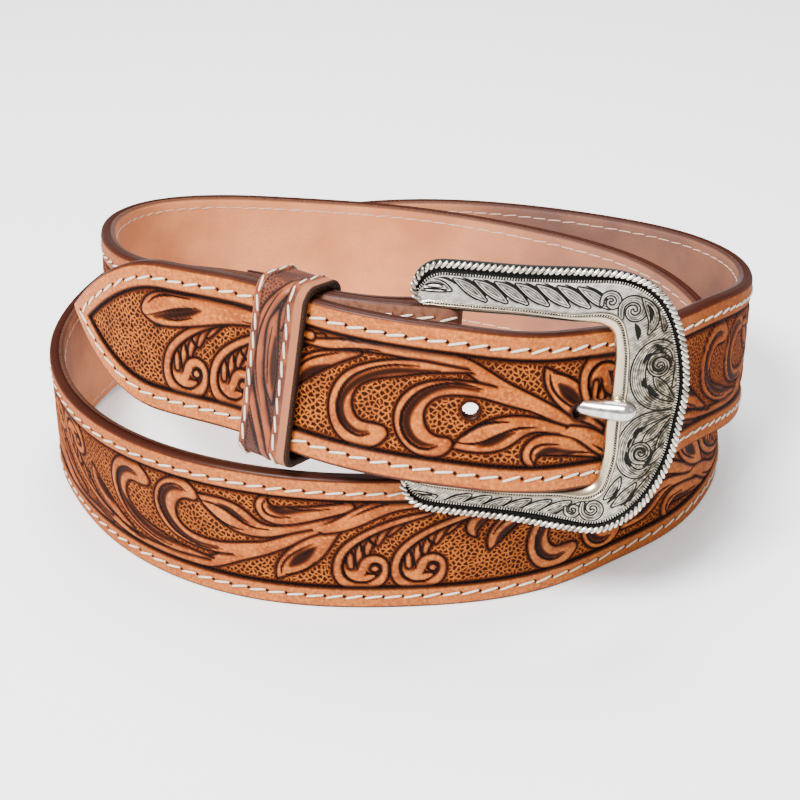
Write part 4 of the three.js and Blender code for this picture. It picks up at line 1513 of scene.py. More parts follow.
def open_holes(strap: Strap, distance: Array, up: Array, face: slice) -> tuple[Array, Array, Array]:
    """Opens the tongue holes that lie in a stretch, on its worked and on its hidden side.

    Args:
        strap: the strap.
        distance: each row's distance from the tip.
        up: height of each point over the mid-line, changed in place.
        face: columns of the worked side.

    Returns:
        Each point's distance from the tip, its offset along the strap, and the faces that stay.
    """
    x = np.repeat(distance[:, None], up.shape[1], 1)
    along = np.zeros_like(up)
    keep = np.ones((len(distance) - 1, up.shape[1]), bool)
    for hole in strap.holes():
        if distance[0] < hole < distance[-1]:
            for side in (face, slice(up.shape[1] - len(HIDDEN), up.shape[1])):
                keep &= open_hole(x, up, along, side, hole, strap.hole_radius)
    return x, along, keep


def join(name: str, pieces: Sequence[bpy.types.Object]) -> bpy.types.Object:
    """Joins mesh objects into one with a new name.

    Args:
        name: the new name.
        pieces: the objects.

    Returns:
        The joined object.
    """
    with bpy.context.temp_override(active_object=pieces[0], object=pieces[0],
                                   selected_objects=list(pieces),
                                   selected_editable_objects=list(pieces)):
        bpy.ops.object.join()
    pieces[0].name = name
    pieces[0].data.name = name
    return pieces[0]


@dataclass
class Lining:
    """The plain inner leather with its rounded, burnished edges."""

    strap: Strap
    front: float = -0.52
    edge_round: float = 1.1
    stop: float = 9.0
    inset: float = 0.05
    # Painted shade along the lining, as (distance from the tip, strength).
    shade_by_distance: tuple = ((0, 0.6), (230, 1.0), (340, 1.0), (395, 0.1), (480, 0.1), (525, 0.7), (700, 0.8),
                     (850, 0.9), (920, 0.0), (1000, 0.0), (1060, 0.5))

    def make(self, name: str) -> bpy.types.Object:
        """Builds the lining from tip to stop.

        Args:
            name: the piece's name.

        Returns:
            The piece.
        """
        strap = self.strap
        body = np.arange(1.5, strap.length - self.stop, 1.3)
        fine = [np.arange(hole - 3, hole + 3, 0.35) for hole in strap.holes()]
        coarse = body[np.all([np.abs(body - hole) > 3.1 for hole in strap.holes()], axis=0)]
        distance = np.sort(np.concatenate([[0.4, 0.8], coarse, *fine, [strap.length - self.stop]]))
        low, high = (edge[:, None] for edge in strap.edges(distance))
        low, high = low + self.inset, high - self.inset
        bend = np.minimum(self.edge_round, (high - low) * 0.3)
        part = np.concatenate([np.linspace(-1, -0.17, 14), np.linspace(-0.16, 0.16, 17),
                               np.linspace(0.17, 1, 14)])
        worked = (low + high) / 2 + ((high - low) / 2 - bend) * part
        up, out, face = rounded_section(low, high, worked, strap.lining_back, self.front, bend)
        x, along, keep = open_holes(strap, distance, up, face)
        inside = np.minimum(high - up, up - low)
        edge = 1 - ease(0.2, 0.9, inside)
        points = strap.frames(distance).place(up, out, along)
        # The sheet carries painted shade along the lining where it lies in shade.
        sheet = Sheet(points, np.stack([x + along, up], -1),
                      {"edge": edge, "age": np.interp(x, *zip(*self.shade_by_distance))})
        return mesh_from_sheet(name, sheet, True, keep, True)


@dataclass
class Stitching:
    """The two rows of slanting stitches, seen on both sides of the strap."""

    leather: OuterLeather
    length: float = 4.3
    thick: float = 0.64
    slant: float = 11.0
    grain_lift: float = 0.12
    lining_lift: float = 0.02
    back_shift: float = 0.8
    back_slant: float = 0.4
    back_thick: float = 0.7

    def make(self, name: str, side: int, material: bpy.types.Material) -> bpy.types.Object:
        """Sets the stitches of one side.

        Args:
            name: the piece's name.
            side: 1 for the grain side, -1 for the lining.
            material: the thread.

        Returns:
            The piece.
        """
        strap = self.leather.strap
        rows = np.concatenate(self.leather.stitch_rows())
        if side < 0:
            rows = rows[rows[:, 0] < strap.length - 12]
            rows[:, 1] += self.back_shift * np.sign(rows[:, 1])
        at = strap.frames(rows[:, 0])
        height = strap.outer_face + self.grain_lift if side > 0 else strap.lining_back + self.lining_lift
        points = at.place(rows[:, 1:2], np.full((len(rows), 1), height))[:, 0]
        along = at.along * rows[:, 2:3] + at.up * rows[:, 3:4]
        slant = self.slant * (1 if side > 0 else self.back_slant)
        thick = self.thick * (1.0 if side > 0 else self.back_thick)
        shape = Scatter(name, self.length, thick, thick * 0.75, slant, jitter=4.0, seed=7)
        return shape.make(points, along, at.out * side, material)


# Stems on the keeper's front: x up its face, y across it towards the buckle.
KEEPER_STEMS = [Stroke(*row) for row in (
    (R, ((30, 3.4, 2.2), (20, 0.8, 2.6), (14.5, -2.6, 3.0), (7.7, -3.9, 3.2), (1.9, -3.8, 3.0),
         (-3.9, -2.8, 2.8), (-10.6, -0.5, 2.6), (-16.4, 1.4, 2.2), (-26, 3.2, 1.0))),
    (R, ((15.5, 0.4, 0.5), (12.6, -0.6, 2.2), (6.8, -0.7, 3.4), (1.0, -0.3, 3.4), (-3.9, 0.3, 2.4),
         (-7.5, 1.4, 0.5))),
    (R, ((28, 5.4, 1.2), (18.8, 3.0, 1.8), (14.5, 1.7, 1.8), (11.0, 1.3, 0.8))),
    (R, ((-4.4, -5.0, 0.8), (-8.5, -4.3, 2.4), (-13.0, -2.9, 2.6), (-18.0, -0.7, 2.4),
         (-28, 2.0, 1.2))),
    (L, ((20, 0.2, 0.2), (13, -3.2, 0.5), (5, -4.6, 0.5), (-3, -3.6, 0.4), (-9, -1.6, 0.2))),
    (L, ((11, -0.9, 0.2), (4, -1.3, 0.5), (-3, -0.5, 0.3))),
    (L, ((-9, -5.0, 0.2), (-14, -3.2, 0.6), (-20, -0.6, 0.2))),
    (H, ((8.5, 0.2, 0.6), (4.0, 0.3, 1.7), (-1.0, 0.6, 1.5), (-4.0, 0.9, 0.5))),
)]


@dataclass
class Keeper:
    """The loop round both strands."""

    strap: Strap
    at: float = 70.3
    width: float = 14.0
    wall: float = 2.0
    front: float = 2.5
    rear: float = -9.3
    top: float = 19.9
    bottom: float = -21.2
    corner: float = 4.4
    edge_round: float = 0.7
    loop_step: float = 0.32
    stitch_left: float = 1.4
    stitch_right: float = 3.9
    stitch_pitch: float = 4.4

    def _loop(self, step: float) -> tuple[Array, Array]:
        """Points (out, up) and outward directions round the loop, from the rear over the top.

        Args:
            step: distance between two points.

        Returns:
            The points and the directions.
        """
        out0, out1 = self.rear - self.wall, self.front + self.wall
        up0, up1 = self.bottom - self.wall, self.top + self.wall
        r = self.corner
        middle = (up0 + up1) / 2
        corners = [(out0 + r, up1 - r, 180), (out1 - r, up1 - r, 90), (out1 - r, up0 + r, 0),
                   (out0 + r, up0 + r, -90)]
        points = [(out0, middle)]
        for cx, cy, start in corners:
            for angle in np.radians(start - np.linspace(0, 90, 13)):
                points.append((cx + r * math.cos(angle), cy + r * math.sin(angle)))
        points.append((out0, middle))
        line = np.array(points)
        walked = travelled(line)
        at = np.linspace(0, walked[-1], int(walked[-1] / step) + 1)
        place = read_off(at, walked, line)
        ahead = read_off(at + 0.3, walked, line)
        behind = read_off(at - 0.3, walked, line)
        tangent = unit(ahead - behind)
        return place, np.stack([-tangent[:, 1], tangent[:, 0]], 1)

    def make(self, name: str) -> bpy.types.Object:
        """Builds the loop with its worked face.

        Args:
            name: the piece's name.

        Returns:
            The piece.
        """
        place, normal = self._loop(self.loop_step)
        half, bend = self.width / 2, self.edge_round
        turn = np.linspace(0, math.pi / 2, 5)[1:-1]
        across = np.linspace(1, -1, 46) * (half - bend)
        fall = np.concatenate([[self.wall, bend], bend * (1 - np.sin(turn))])
        side = np.concatenate([[half - 0.3, half], half - bend * (1 - np.cos(turn))])
        depth = np.concatenate([fall, 0 * across, fall[::-1]])
        along = np.concatenate([side, across, -side[::-1]])
        face = slice(len(side), len(side) + len(across))
        walked = travelled(place)
        front = int(np.argmin(np.abs(place[:, 1]) + 99 * (place[:, 0] < self.front)))
        x = np.repeat((walked[front] - walked)[:, None], len(across), 1)
        y = np.repeat(across[None], len(x), 0)
        relief = Relief(x, y, ground_depth=0.34, bevel=0.9)
        for stroke in KEEPER_STEMS:
            relief.work(stroke)
        inner = ease(half - self.stitch_right - 0.7, half - self.stitch_right - 1.1, y)
        inner = inner * ease(-half + self.stitch_left + 0.5, -half + self.stitch_left + 0.9, y)
        cut = relief.cut * inner
        for line_y in (half - self.stitch_right - 1.0, -half + self.stitch_left + 0.8):
            cut = np.maximum(cut, 0.7 * np.exp(-((y - line_y) / 0.22) ** 2))
        sizes = (len(place), len(depth))
        worked = {"cut": cut, "ground": relief.ground * inner, "rib": relief.rib * inner}
        level = over_face(sizes, face, relief.height * inner) - depth[None]
        at = self.strap.frames(self.at)
        out = place[:, 0:1] + normal[:, 0:1] * level
        up = place[:, 1:2] + normal[:, 1:2] * level
        points = (at.origin + at.out * out[..., None] + at.up * up[..., None]
                  + at.along * np.broadcast_to(along, sizes)[..., None])
        # Edge colour across the face: a light raw band near the right edge, then dark right and left
        # edges; the wide dark right side is partly its edge and partly painted shade.
        rim = (0.3 * ease(half - 2.9, half - 2.6, along) + 0.7 * ease(half - 1.0, half - 0.3, along)
               + 0.8 * ease(-half + 0.6, -half + 0.1, along))[None] * np.ones(sizes)
        rim[:, 0] = rim[:, -1] = 1
        flat = np.stack([np.repeat(walked[:, None], sizes[1], 1),
                         np.broadcast_to(along, sizes) + depth[None] * np.sign(along)[None]], -1)
        numbers = {key: over_face(sizes, face, rows) for key, rows in worked.items()}
        return mesh_from_sheet(name, Sheet(points, flat, {"edge": rim, **numbers}), True)

    def stitches(self, name: str, material: bpy.types.Material) -> bpy.types.Object:
        """Sets the stitches along both sides of the loop's face.

        Args:
            name: the piece's name.
            material: the thread.

        Returns:
            The piece.
        """
        place, normal = self._loop(self.stitch_pitch)
        place, normal = place[1:-1], normal[1:-1]
        at = self.strap.frames(self.at)
        half = self.width / 2
        points, along, outs = [], [], []
        for line in (half - self.stitch_right, -half + self.stitch_left):
            lifted = place + normal * 0.1
            points.append(at.origin + at.out * lifted[:, :1] + at.up * lifted[:, 1:] + at.along * line)
            outs.append(at.out * normal[:, :1] + at.up * normal[:, 1:])
            along.append(at.out * normal[:, 1:] - at.up * normal[:, :1])
        shape = Scatter(name, self.stitch_pitch - 0.5, width=0.6, height=0.5, slant=8.0, jitter=4.0,
                        seed=11)
        return shape.make(np.concatenate(points), np.concatenate(along), np.concatenate(outs), material)


def spiral(x: float, y: float, radius: float, start: float, turns: float, width: float) -> Stroke:
    """A raised spiral that winds inwards.

    Args:
        x: its centre.
        y: its centre.
        radius: distance of its outer end from the centre.
        start: angle of its outer end in degrees.
        turns: turns inwards, negative for the other way round.
        width: widest width of the stroke.

    Returns:
        The stroke.
    """
    places = []
    for part in np.linspace(0, 1, 11):
        angle = math.radians(start + 360 * turns * part)
        reach = radius * (1 - part) ** 0.85 + 0.35
        broad = width * (0.45 + 0.55 * math.sin(math.pi * min(1.0, 0.15 + part)))
        places.append((x + reach * math.cos(angle), y + reach * math.sin(angle), broad))
    return Stroke(R, tuple(places))


# Leaves and bands of the buckle's right side, in its own plane.
ENGRAVED = [Stroke(*row) for row in (
    (R, ((21.6, 25.8, 0.4), (23.4, 23.8, 2.4), (24.6, 20.8, 2.4), (23.8, 17.6, 0.5))),
    (R, ((25.2, 25.0, 0.4), (27.1, 22.4, 2.4), (27.2, 18.6, 0.6))),
    (R, ((28.8, 21.8, 0.4), (29.9, 18.8, 1.7), (30.6, 15.0, 0.4))),
    (L, ((22.8, 24.4, 0.2), (24.0, 22.4, 1.0), (23.8, 20.2, 0.2))),
    (L, ((27.4, 23.0, 0.2), (28.3, 21.0, 0.9), (27.8, 18.8, 0.2))),
    (L, ((20.5, 19.8, 0.3), (21.3, 18.2, 1.3), (21.5, 16.0, 0.2))),
    (R, ((31.8, 0.9, 0.8), (28.4, 0.6, 2.4), (24.9, 2.0, 3.3), (22.6, 5.8, 3.5), (22.5, 10.2, 3.2),
         (24.2, 13.8, 2.6), (27.0, 15.3, 1.9), (29.6, 14.2, 1.3), (30.4, 11.6, 0.6))),
    (R, ((26.2, 7.4, 0.5), (28.0, 5.2, 2.4), (30.2, 3.2, 1.3), (31.6, 1.9, 0.4))),
    (R, ((30.9, 12.2, 0.4), (31.5, 8.8, 1.5), (30.9, 5.2, 0.6))),
    (L, ((23.4, 10.6, 0.2), (24.2, 12.2, 1.0), (25.9, 12.9, 0.3))),
    (L, ((25.7, 14.9, 0.2), (26.9, 14.3, 1.1), (27.5, 13.0, 0.3))),
    (L, ((23.8, 7.0, 0.2), (24.0, 5.6, 1.0), (25.0, 4.6, 0.2))),
    (L, ((25.2, 5.4, 0.2), (25.8, 3.9, 1.3), (27.8, 2.8, 0.3))),
    (L, ((28.9, 12.6, 0.2), (29.6, 10.8, 0.9), (29.4, 8.8, 0.2))),
    (R, ((31.4, -0.9, 0.8), (28.0, -2.0, 2.2), (24.2, -3.7, 3.0), (21.6, -7.2, 3.4),
         (20.8, -11.6, 3.2), (22.0, -15.2, 2.8), (25.0, -16.4, 2.0), (27.4, -14.4, 0.8))),
    (R, ((25.2, -8.6, 0.4), (26.8, -6.8, 2.2), (29.0, -4.2, 1.5), (31.0, -2.2, 0.4))),
    (R, ((28.4, -10.6, 0.4), (29.9, -7.2, 1.8), (31.3, -3.8, 0.4))),
    (R, ((27.2, -14.0, 0.4), (29.0, -11.4, 1.9), (30.9, -8.4, 0.4))),
    (L, ((22.9, -7.6, 0.2), (23.7, -5.9, 1.2), (25.4, -4.9, 0.3))),
    (L, ((21.9, -10.0, 0.2), (22.1, -8.6, 0.8), (22.8, -7.6, 0.2))),
    (L, ((21.6, -11.0, 0.2), (21.8, -13.0, 1.0), (23.0, -14.6, 0.2))),
    (L, ((26.0, -14.6, 0.2), (27.3, -12.6, 0.9), (27.7, -10.6, 0.2))),
    (R, ((20.8, -17.4, 0.4), (19.7, -20.2, 2.2), (17.6, -22.8, 0.4))),
    (R, ((24.6, -18.8, 0.4), (22.7, -21.6, 2.4), (19.6, -24.6, 0.5))),
    (R, ((27.4, -17.2, 0.4), (26.0, -20.6, 2.0), (22.8, -24.2, 0.4))),
    (L, ((20.4, -19.6, 0.2), (20.0, -21.8, 1.0), (18.4, -23.8, 0.2))),
    (L, ((24.6, -20.0, 0.2), (23.8, -22.2, 0.9), (21.8, -24.4, 0.2))),
)]


def engraving() -> list[Stroke]:
    """The scrolls and leaves on the buckle's face, in its own plane.

    Returns:
        The strokes in the order of work.
    """
    strokes = []
    for side in (1, -1):
        for x in -20.6 + 4.65 * np.arange(7):
            leaf = ((R, ((x - 0.4, 27.6, 0.5), (x + 1.8, 26.5, 2.0), (x + 4.4, 24.9, 2.3),
                         (x + 6.9, 23.3, 0.8))),
                    (L, ((x + 1.2, 28.2, 0.2), (x + 3.6, 27.2, 0.55), (x + 5.8, 25.6, 0.6),
                         (x + 7.0, 24.2, 0.2))),
                    (L, ((x + 1.0, 25.8, 0.1), (x + 3.0, 24.2, 0.3), (x + 5.0, 23.1, 0.1))))
            for look, places in leaf:
                placed = [(px, side * (25.7 + (pz - 25.7) * (1 if side > 0 else 0.8)), w)
                          for px, pz, w in places]
                strokes.append(Stroke(look, tuple(placed)))
        eye = ((R, ((-28.6, 24.6, 0.6), (-26.4, 25.5, 2.6), (-24.0, 25.6, 2.6), (-21.6, 24.9, 0.6))),
               (L, ((-28.0, 25.3, 0.2), (-25.6, 26.1, 0.5), (-23.0, 25.9, 0.3))),
               (L, ((-27.6, 24.5, 0.2), (-25.2, 24.9, 0.5), (-22.6, 24.7, 0.3))),
               (L, ((-24.6, 27.6, 0.2), (-22.4, 27.4, 0.6), (-20.4, 26.4, 0.3))))
        strokes += [Stroke(look, tuple((px, side * pz, w) for px, pz, w in places))
                    for look, places in eye]
    strokes += [spiral(14.6, 24.8, 2.0, 200, -1.3, 1.1), spiral(19.9, 22.9, 2.9, 210, -1.5, 1.6),
                spiral(10.4, -25.8, 1.5, 160, 1.2, 0.9), spiral(15.0, -25.4, 2.4, 150, 1.4, 1.4)]
    strokes += ENGRAVED
    strokes += [spiral(27.2, 10.1, 2.4, 75, 1.7, 1.2), spiral(25.0, -11.2, 2.3, -70, -1.7, 1.2)]
    return strokes


@dataclass
class Buckle:
    """The bowed frame with its rope edge, engraved face, bevel, bar and lugs."""

    strap: Strap
    turn: float = 2.3
    drop: float = 1.8
    window_drop: float = 1.4
    lower_length: tuple = (0.982, 0.965)
    lower_share: tuple = (0.93, 0.92, 0.91, 0.905, 0.905, 0.905, 0.915, 0.94, 0.967, 0.985, 0.965,
                          0.94, 0.93, 0.93, 0.93)
    bar_x: float = -23.0
    bar_depth: float = -6.3
    bar_radius: float = 2.0
    bow_radius: float = 160.0
    back: float = -2.0
    plate_step: float = 0.19
    line_step: float = 0.2
    bar_half: float = 21.1
    lug_half: float = 2.6
    lug_at: float = 20.85
    full_width: float = 9.0
    rim_width: float = 3.55
    bevel_width: float = 3.45
    rope_inset: float = 0.84
    rope_pitch: float = 1.34
    bead_pitch: float = 0.62
    pose: Frames = field(init=False)

    def __post_init__(self) -> None:
        """Hangs the buckle's frame on the fold."""
        end = self.strap.frames(self.strap.length - 0.001)
        angle = math.radians(self.turn)
        along = end.along * math.cos(angle) - end.out * math.sin(angle)
        out = end.out * math.cos(angle) + end.along * math.sin(angle)
        bar = end.origin - end.out * self.strap.bar_setback
        origin = bar - along * self.bar_x - out * self.bar_depth - end.up * self.drop
        self.pose = Frames(origin[0], along[0], end.up[0], out[0])

    def at(self, x: Array, z: Array, out: Array) -> Array:
        """Points from coordinates in the buckle's own frame.

        Args:
            x: distance along the strap.
            z: height.
            out: distance outwards.

        Returns:
            The points.
        """
        o, a, u, n = self.pose
        x, z, out = np.broadcast_arrays(x, z, out)
        return o + a * x[..., None] + u * z[..., None] + n * out[..., None]

    def bowed(self, x: Array, z: Array, height: Array) -> Array:
        """Points over the bowed face."""
        return self.at(x, z, height - np.square(x) / (2 * self.bow_radius))

    def outline(self, step: float) -> tuple[Array, Array]:
        """Facing points of the outer and the inner outline, evenly spaced along the band.

        Args:
            step: distance between two points.

        Returns:
            The outer and the inner points.
        """
        upper = np.array(FRAME_ROWS, float)
        outer_share, inner_share = self.lower_length
        lower = upper[::-1] * [outer_share, -1, inner_share, -1 - self.window_drop / 20]
        lower[:, 1] *= self.lower_share[::-1]
        curve = natural_spline(range(2 * len(upper)), np.concatenate([upper, lower]))
        fine = curve(np.linspace(0, 2 * len(upper) - 1, 1500))
        middle = (fine[:, :2] + fine[:, 2:]) / 2
        steps, rim_steps = (np.linalg.norm(np.diff(line, axis=0), axis=1)
                            for line in (middle, fine[:, :2]))
        walked = np.concatenate([[0], np.cumsum(steps + 0.6 * rim_steps)])
        at = np.linspace(0, walked[-1], int(walked[-1] / step / 1.6) + 1)
        even = read_off(at, walked, fine)
        return even[:, :2], even[:, 2:]

    def plate(self, name: str) -> bpy.types.Object:
        """Builds the frame's plate with its engraving.

        Args:
            name: the piece's name.

        Returns:
            The piece.
        """
        outer, inner = self.outline(self.plate_step)
        width = np.linalg.norm(inner - outer, axis=1)[:, None]
        shrink = self._narrow(outer, width)
        rim = np.array([(0, -1.6), (0, -0.6), (0.0, 0.1), (0.12, 0.34), (0.3, 0.44), (0.8, 0.46),
                        (1.4, 0.36), (1.6, 0.0), (1.8, -0.36), (2.1, -0.44), (2.5, -0.36), (2.7, -0.1),
                        (2.8, 0.02), (3.1, 0.06), (3.4, 0.06), (self.rim_width, 0.16)])
        bevel = np.array([(self.bevel_width, 0.1), (3.3, 0.26), (3.0, 0.24), (2.88, 0.0), (2.4, -0.02),
                          (2.28, 0.18), (2.0, 0.22), (1.6, 0.14), (1.2, -0.04), (0.7, -0.3),
                          (0.3, -0.64), (0.08, -0.95), (0, -1.3)])
        panel = np.linspace(0, 1, 66)[1:-1]
        sill = self._sill(inner, width)
        start, stop = self.rim_width * shrink, width - self.bevel_width * sill
        inset = np.concatenate([rim[:, 0] * shrink, start + (stop - start) * panel,
                                width - bevel[:, 0] * sill, width - 0.7 * sill,
                                width / 2, 0.5 * shrink], 1)
        height = np.concatenate([rim[:, 1], np.full(len(panel), 0.2), bevel[:, 1],
                                 [self.back] * 3])[None] + 0 * inset
        part = (inset / width)[..., None]
        flat = outer[:, None] * (1 - part) + inner[:, None] * part
        face = slice(len(rim) - 1, len(rim) + len(panel) + 1)
        relief = Relief(flat[:, face, 0], flat[:, face, 1], ground_depth=0.1, bevel=0.2,
                        edge_line=0.2, line_depth=0.16)
        for stroke in engraving():
            relief.work(stroke)
        rows = len(outer)
        border = np.minimum(inset[:, face] - start, stop - inset[:, face])
        ends = np.minimum(np.arange(rows), np.arange(rows)[::-1])[:, None] * self.plate_step
        inside = ease(0.0, 0.3, np.minimum(border, ends - 1.6))
        height[:, face] += relief.height * inside
        cut, ground, rib = (over_face(inset.shape, face, part * inside)
                            for part in (relief.cut, relief.ground, relief.rib))
        from_rope, from_window = inset / shrink, (width - inset) / sill
        smooth = np.maximum(ease(2.36, 2.24, from_window),
                            ease(2.9, 3.0, from_window) * ease(3.42, 3.32, from_window))
        # Dark groove inside the rope: partly black left in it, partly painted shadow.
        groove = ease(3.6, 3.45, from_rope) * (0.75 + 0.25 * ease(0.4, 0.7, from_rope))
        milled = ease(2.24, 2.36, from_window) * ease(3.0, 2.9, from_window)
        crease = np.exp(-((from_window - self.bevel_width) / 0.13) ** 2)
        # Painted shade on the plate's outer side wall.
        side = (inset < 0.06) * (height > -1.9)
        # Painted shade along the window's edge under the upper arm's left part.
        under = ease(1.5, 1.0, from_window) * (flat[..., 1] > 0) * ease(12, 4, flat[..., 0])
        for dark in (groove, milled, 0.9 * crease, 0.75 * side, 0.85 * under):
            cut = np.maximum(cut, dark)
        # Darker and warmer towards the right member and on the lower arm's left part.
        darker_share = ease(15, 31, flat[..., 0]) + 0.35 * (flat[..., 1] < 0) * ease(22, 13, flat[..., 0])
        points = self.bowed(flat[..., 0], flat[..., 1], height)
        sheet = Sheet(points, flat, {"cut": cut, "ground": ground, "rib": rib, "bevel": smooth,
                                     "darker_share": darker_share})
        return mesh_from_sheet(name, sheet, True, None, True)

    def _sill(self, inner: Array, width: Array) -> Array:
        """How much narrower the bevel is on narrow parts and along the two arms."""
        return np.minimum(1, width / self.full_width) * (0.6 + 0.4 * ease(5, 15, inner[:, :1]))

    def _narrow(self, outer: Array, width: Array) -> Array:
        """How much narrower the rim is on narrow parts and on the right member."""
        return np.minimum(1, width / self.full_width) * (1 - 0.2 * ease(6, 20, outer[:, :1]))

    def _line(self, inset: float, pitch: float, from_outer: bool) -> tuple[Array, Array, Array]:
        """Even places along the band at an inset, with directions along and out.

        Args:
            inset: distance from the edge.
            pitch: distance between two places.
            from_outer: whether that is the outer edge.

        Returns:
            The places (x, z), the directions along the line and those outwards.
        """
        outer, inner = self.outline(self.line_step)
        width = np.linalg.norm(inner - outer, axis=1)[:, None]
        part = inset * (self._narrow(outer, width) if from_outer else self._sill(inner, width)) / width
        part = part if from_outer else 1 - part
        line = outer * (1 - part) + inner * part
        walked = travelled(line)
        count = int(walked[-1] / pitch)
        at = (np.arange(count) + 0.5) * walked[-1] / count
        place = read_off(at, walked, line)
        ahead = read_off(at + 0.1, walked, line)
        tangent = unit(ahead - place)
        _, a, u, n = self.pose
        return place, a * tangent[:, :1] + u * tangent[:, 1:], np.repeat(n[None], len(place), 0)

    def rope(self, name: str, material: bpy.types.Material) -> bpy.types.Object:
        """Sets the turns of the rope edge.

        Args:
            name: the piece's name.
            material: its finish.

        Returns:
            The piece.
        """
        place, along, out = self._line(self.rope_inset, self.rope_pitch, True)
        points = self.bowed(place[:, 0], place[:, 1], np.full(len(place), 0.5))
        shape = Scatter(name, length=2.15, width=0.92, height=0.95, slant=42.0, jitter=2.0, seed=3,
                        segments=10)
        return shape.make(points, along, out, material)

    def beads(self, name: str, inset: float, outer: bool,
              material: bpy.types.Material) -> bpy.types.Object:
        """Sets one fine milled line along the engraving.

        Args:
            name: the piece's name.
            inset: its distance from the edge.
            outer: whether that is the outer edge.
            material: its finish.

        Returns:
            The piece.
        """
        place, along, out = self._line(inset, self.bead_pitch, outer)
        points = self.bowed(place[:, 0], place[:, 1], np.full(len(place), 0.05))
        slant, thick = (78.0, 0.3) if outer else (52.0, 0.22)
        shape = Scatter(name, length=0.66, width=thick, height=0.4, slant=slant, jitter=4.0, seed=5,
                        rings=5)
        return shape.make(points, along, out, material)

    def bar(self, name: str) -> bpy.types.Object:
        """Builds the bar that the strap folds round.

        Args:
            name: the piece's name.

        Returns:
            The piece.
        """
        turn = np.linspace(0, 2 * math.pi, 41)[:-1]
        r, end = self.bar_radius, self.bar_half
        rows = [(r - 0.3, -end), (r, 0.3 - end), (r, -10), (r, 0), (r, 10), (r, end - 0.3),
                (r - 0.3, end)]
        points = np.stack([self.at(self.bar_x + radius * np.cos(turn), z,
                                   self.bar_depth - radius * np.sin(turn)) for radius, z in rows])
        return plain_ring(name, points)

    def lug(self, name: str, side: int) -> bpy.types.Object:
        """Builds one of the lugs that hold the bar.

        Args:
            name: the piece's name.
            side: 1 for the upper lug, -1 for the lower one.

        Returns:
            The piece.
        """
        front = -(self.bar_x ** 2) / (2 * self.bow_radius) - 0.9
        back = self.bar_depth - self.bar_radius - 0.4
        x, z = rounded_box_section(self.lug_half, 0.45, 0.25)
        rows = [(0.15, back), (0.0, back + 0.2), (0.0, front)]
        points = np.stack([self.at(self.bar_x + x * (1 - inset / self.lug_half),
                                   side * self.lug_at + z * (1 - inset), out) for inset, out in rows])
        return plain_ring(name, points)


@dataclass
class Tongue:
    """The smooth prong with its ring round the bar."""

    buckle: Buckle
    radius: float = 2.3
    root_x: float = 3.2
    tip_x: float = 22.6
    tip_depth: float = 1.5
    rise: float = -0.2
    tip_rise: float = -0.2
    sag: float = 3.4
    droop: float = 0.9
    ring_rise: float = 0.6
    ring_outer: float = 4.0
    ring_inner: float = 2.3
    ring_half: float = 1.8

    def prong(self, name: str) -> bpy.types.Object:
        """Builds the prong.

        Args:
            name: the piece's name.

        Returns:
            The piece.
        """
        b = self.buckle
        root = b.at(b.bar_x + self.root_x, self.rise, b.bar_depth - 0.4)
        tip = b.at(self.tip_x, self.tip_rise, self.tip_depth)
        length = float(np.linalg.norm(tip - root))
        nose = 1.5 * self.radius
        profile = [(0.0, 0.72), (0.3, 0.68), (0.5, 0.74), (0.6, 0.86), (0.68, 0.94), (0.8, 1.04)]
        rows = [(part * length, share * self.radius) for part, share in profile]
        for angle in np.radians(np.arange(8, 90, 8)):
            rows.append((length - nose + nose * math.sin(angle), 1.14 * self.radius * math.cos(angle)))
        rows.append((length, 0.02))
        axis = unit(tip - root)
        side = unit(np.cross(axis, b.pose.up))
        over = np.cross(side, axis)
        turn = np.linspace(0, 2 * math.pi, 37)[:-1][:, None]
        sags = [2 * self.sag * math.sin(math.pi * at / length) * (1 - at / length) for at, _ in rows]
        droops = [self.droop * math.sin(math.pi * at / length) for at, _ in rows]
        points = np.stack([root + axis * at - b.pose.out * low - b.pose.up * down
                           + r * (over * np.cos(turn) + side * np.sin(turn))
                           for (at, r), low, down in zip(rows, sags, droops)])
        return plain_ring(name, points)

    def ring(self, name: str) -> bpy.types.Object:
        """Builds the ring at the prong's root.

        Args:
            name: the piece's name.

        Returns:
            The piece.
        """
        b = self.buckle
        low, high, half = self.ring_inner, self.ring_outer, self.ring_half
        side = np.array([(low, half - 0.3), (low + 0.3, half), (high - 0.4, half), (high, half - 0.4)])
        r, z = np.concatenate([side * [1, -1], side[::-1]]).T
        rows = [b.at(b.bar_x + r * math.cos(turn), self.ring_rise + z, b.bar_depth - r * math.sin(turn))
                for turn in np.linspace(0, 2 * math.pi, 49)]
        return plain_ring(name, np.stack(rows), False)


def rounded_box_section(half_x: float, half_z: float, radius: float) -> tuple[Array, Array]:
    """Coordinates round a rectangle with rounded corners, turning from x to z.

    Args:
        half_x: half its width.
        half_z: half its height.
        radius: the corners' radius.

    Returns:
        The x and the z coordinates.
    """
    xs, zs = [], []
    for quarter, (sx, sz) in enumerate(((1, 1), (-1, 1), (-1, -1), (1, -1))):
        for angle in np.radians(np.linspace(0, 90, 5) + 90 * quarter):
            xs.append(sx * (half_x - radius) + radius * math.cos(angle))
            zs.append(sz * (half_z - radius) + radius * math.sin(angle))
    return np.array(xs), np.array(zs)


def plain_ring(name: str, points: Array, caps: bool = True) -> bpy.types.Object:
    """Makes a tube of rings without a worked face.

    Args:
        name: the object's name.
        points: rings of points in millimetres.
        caps: whether its ends are closed.

    Returns:
        The piece.
    """
    rows, columns = points.shape[:2]
    flat = np.stack(np.meshgrid(np.arange(rows) * 1.0, np.arange(columns) * 0.3, indexing="ij"), -1)
    return mesh_from_sheet(name, Sheet(points, flat, {}), True, None, caps)


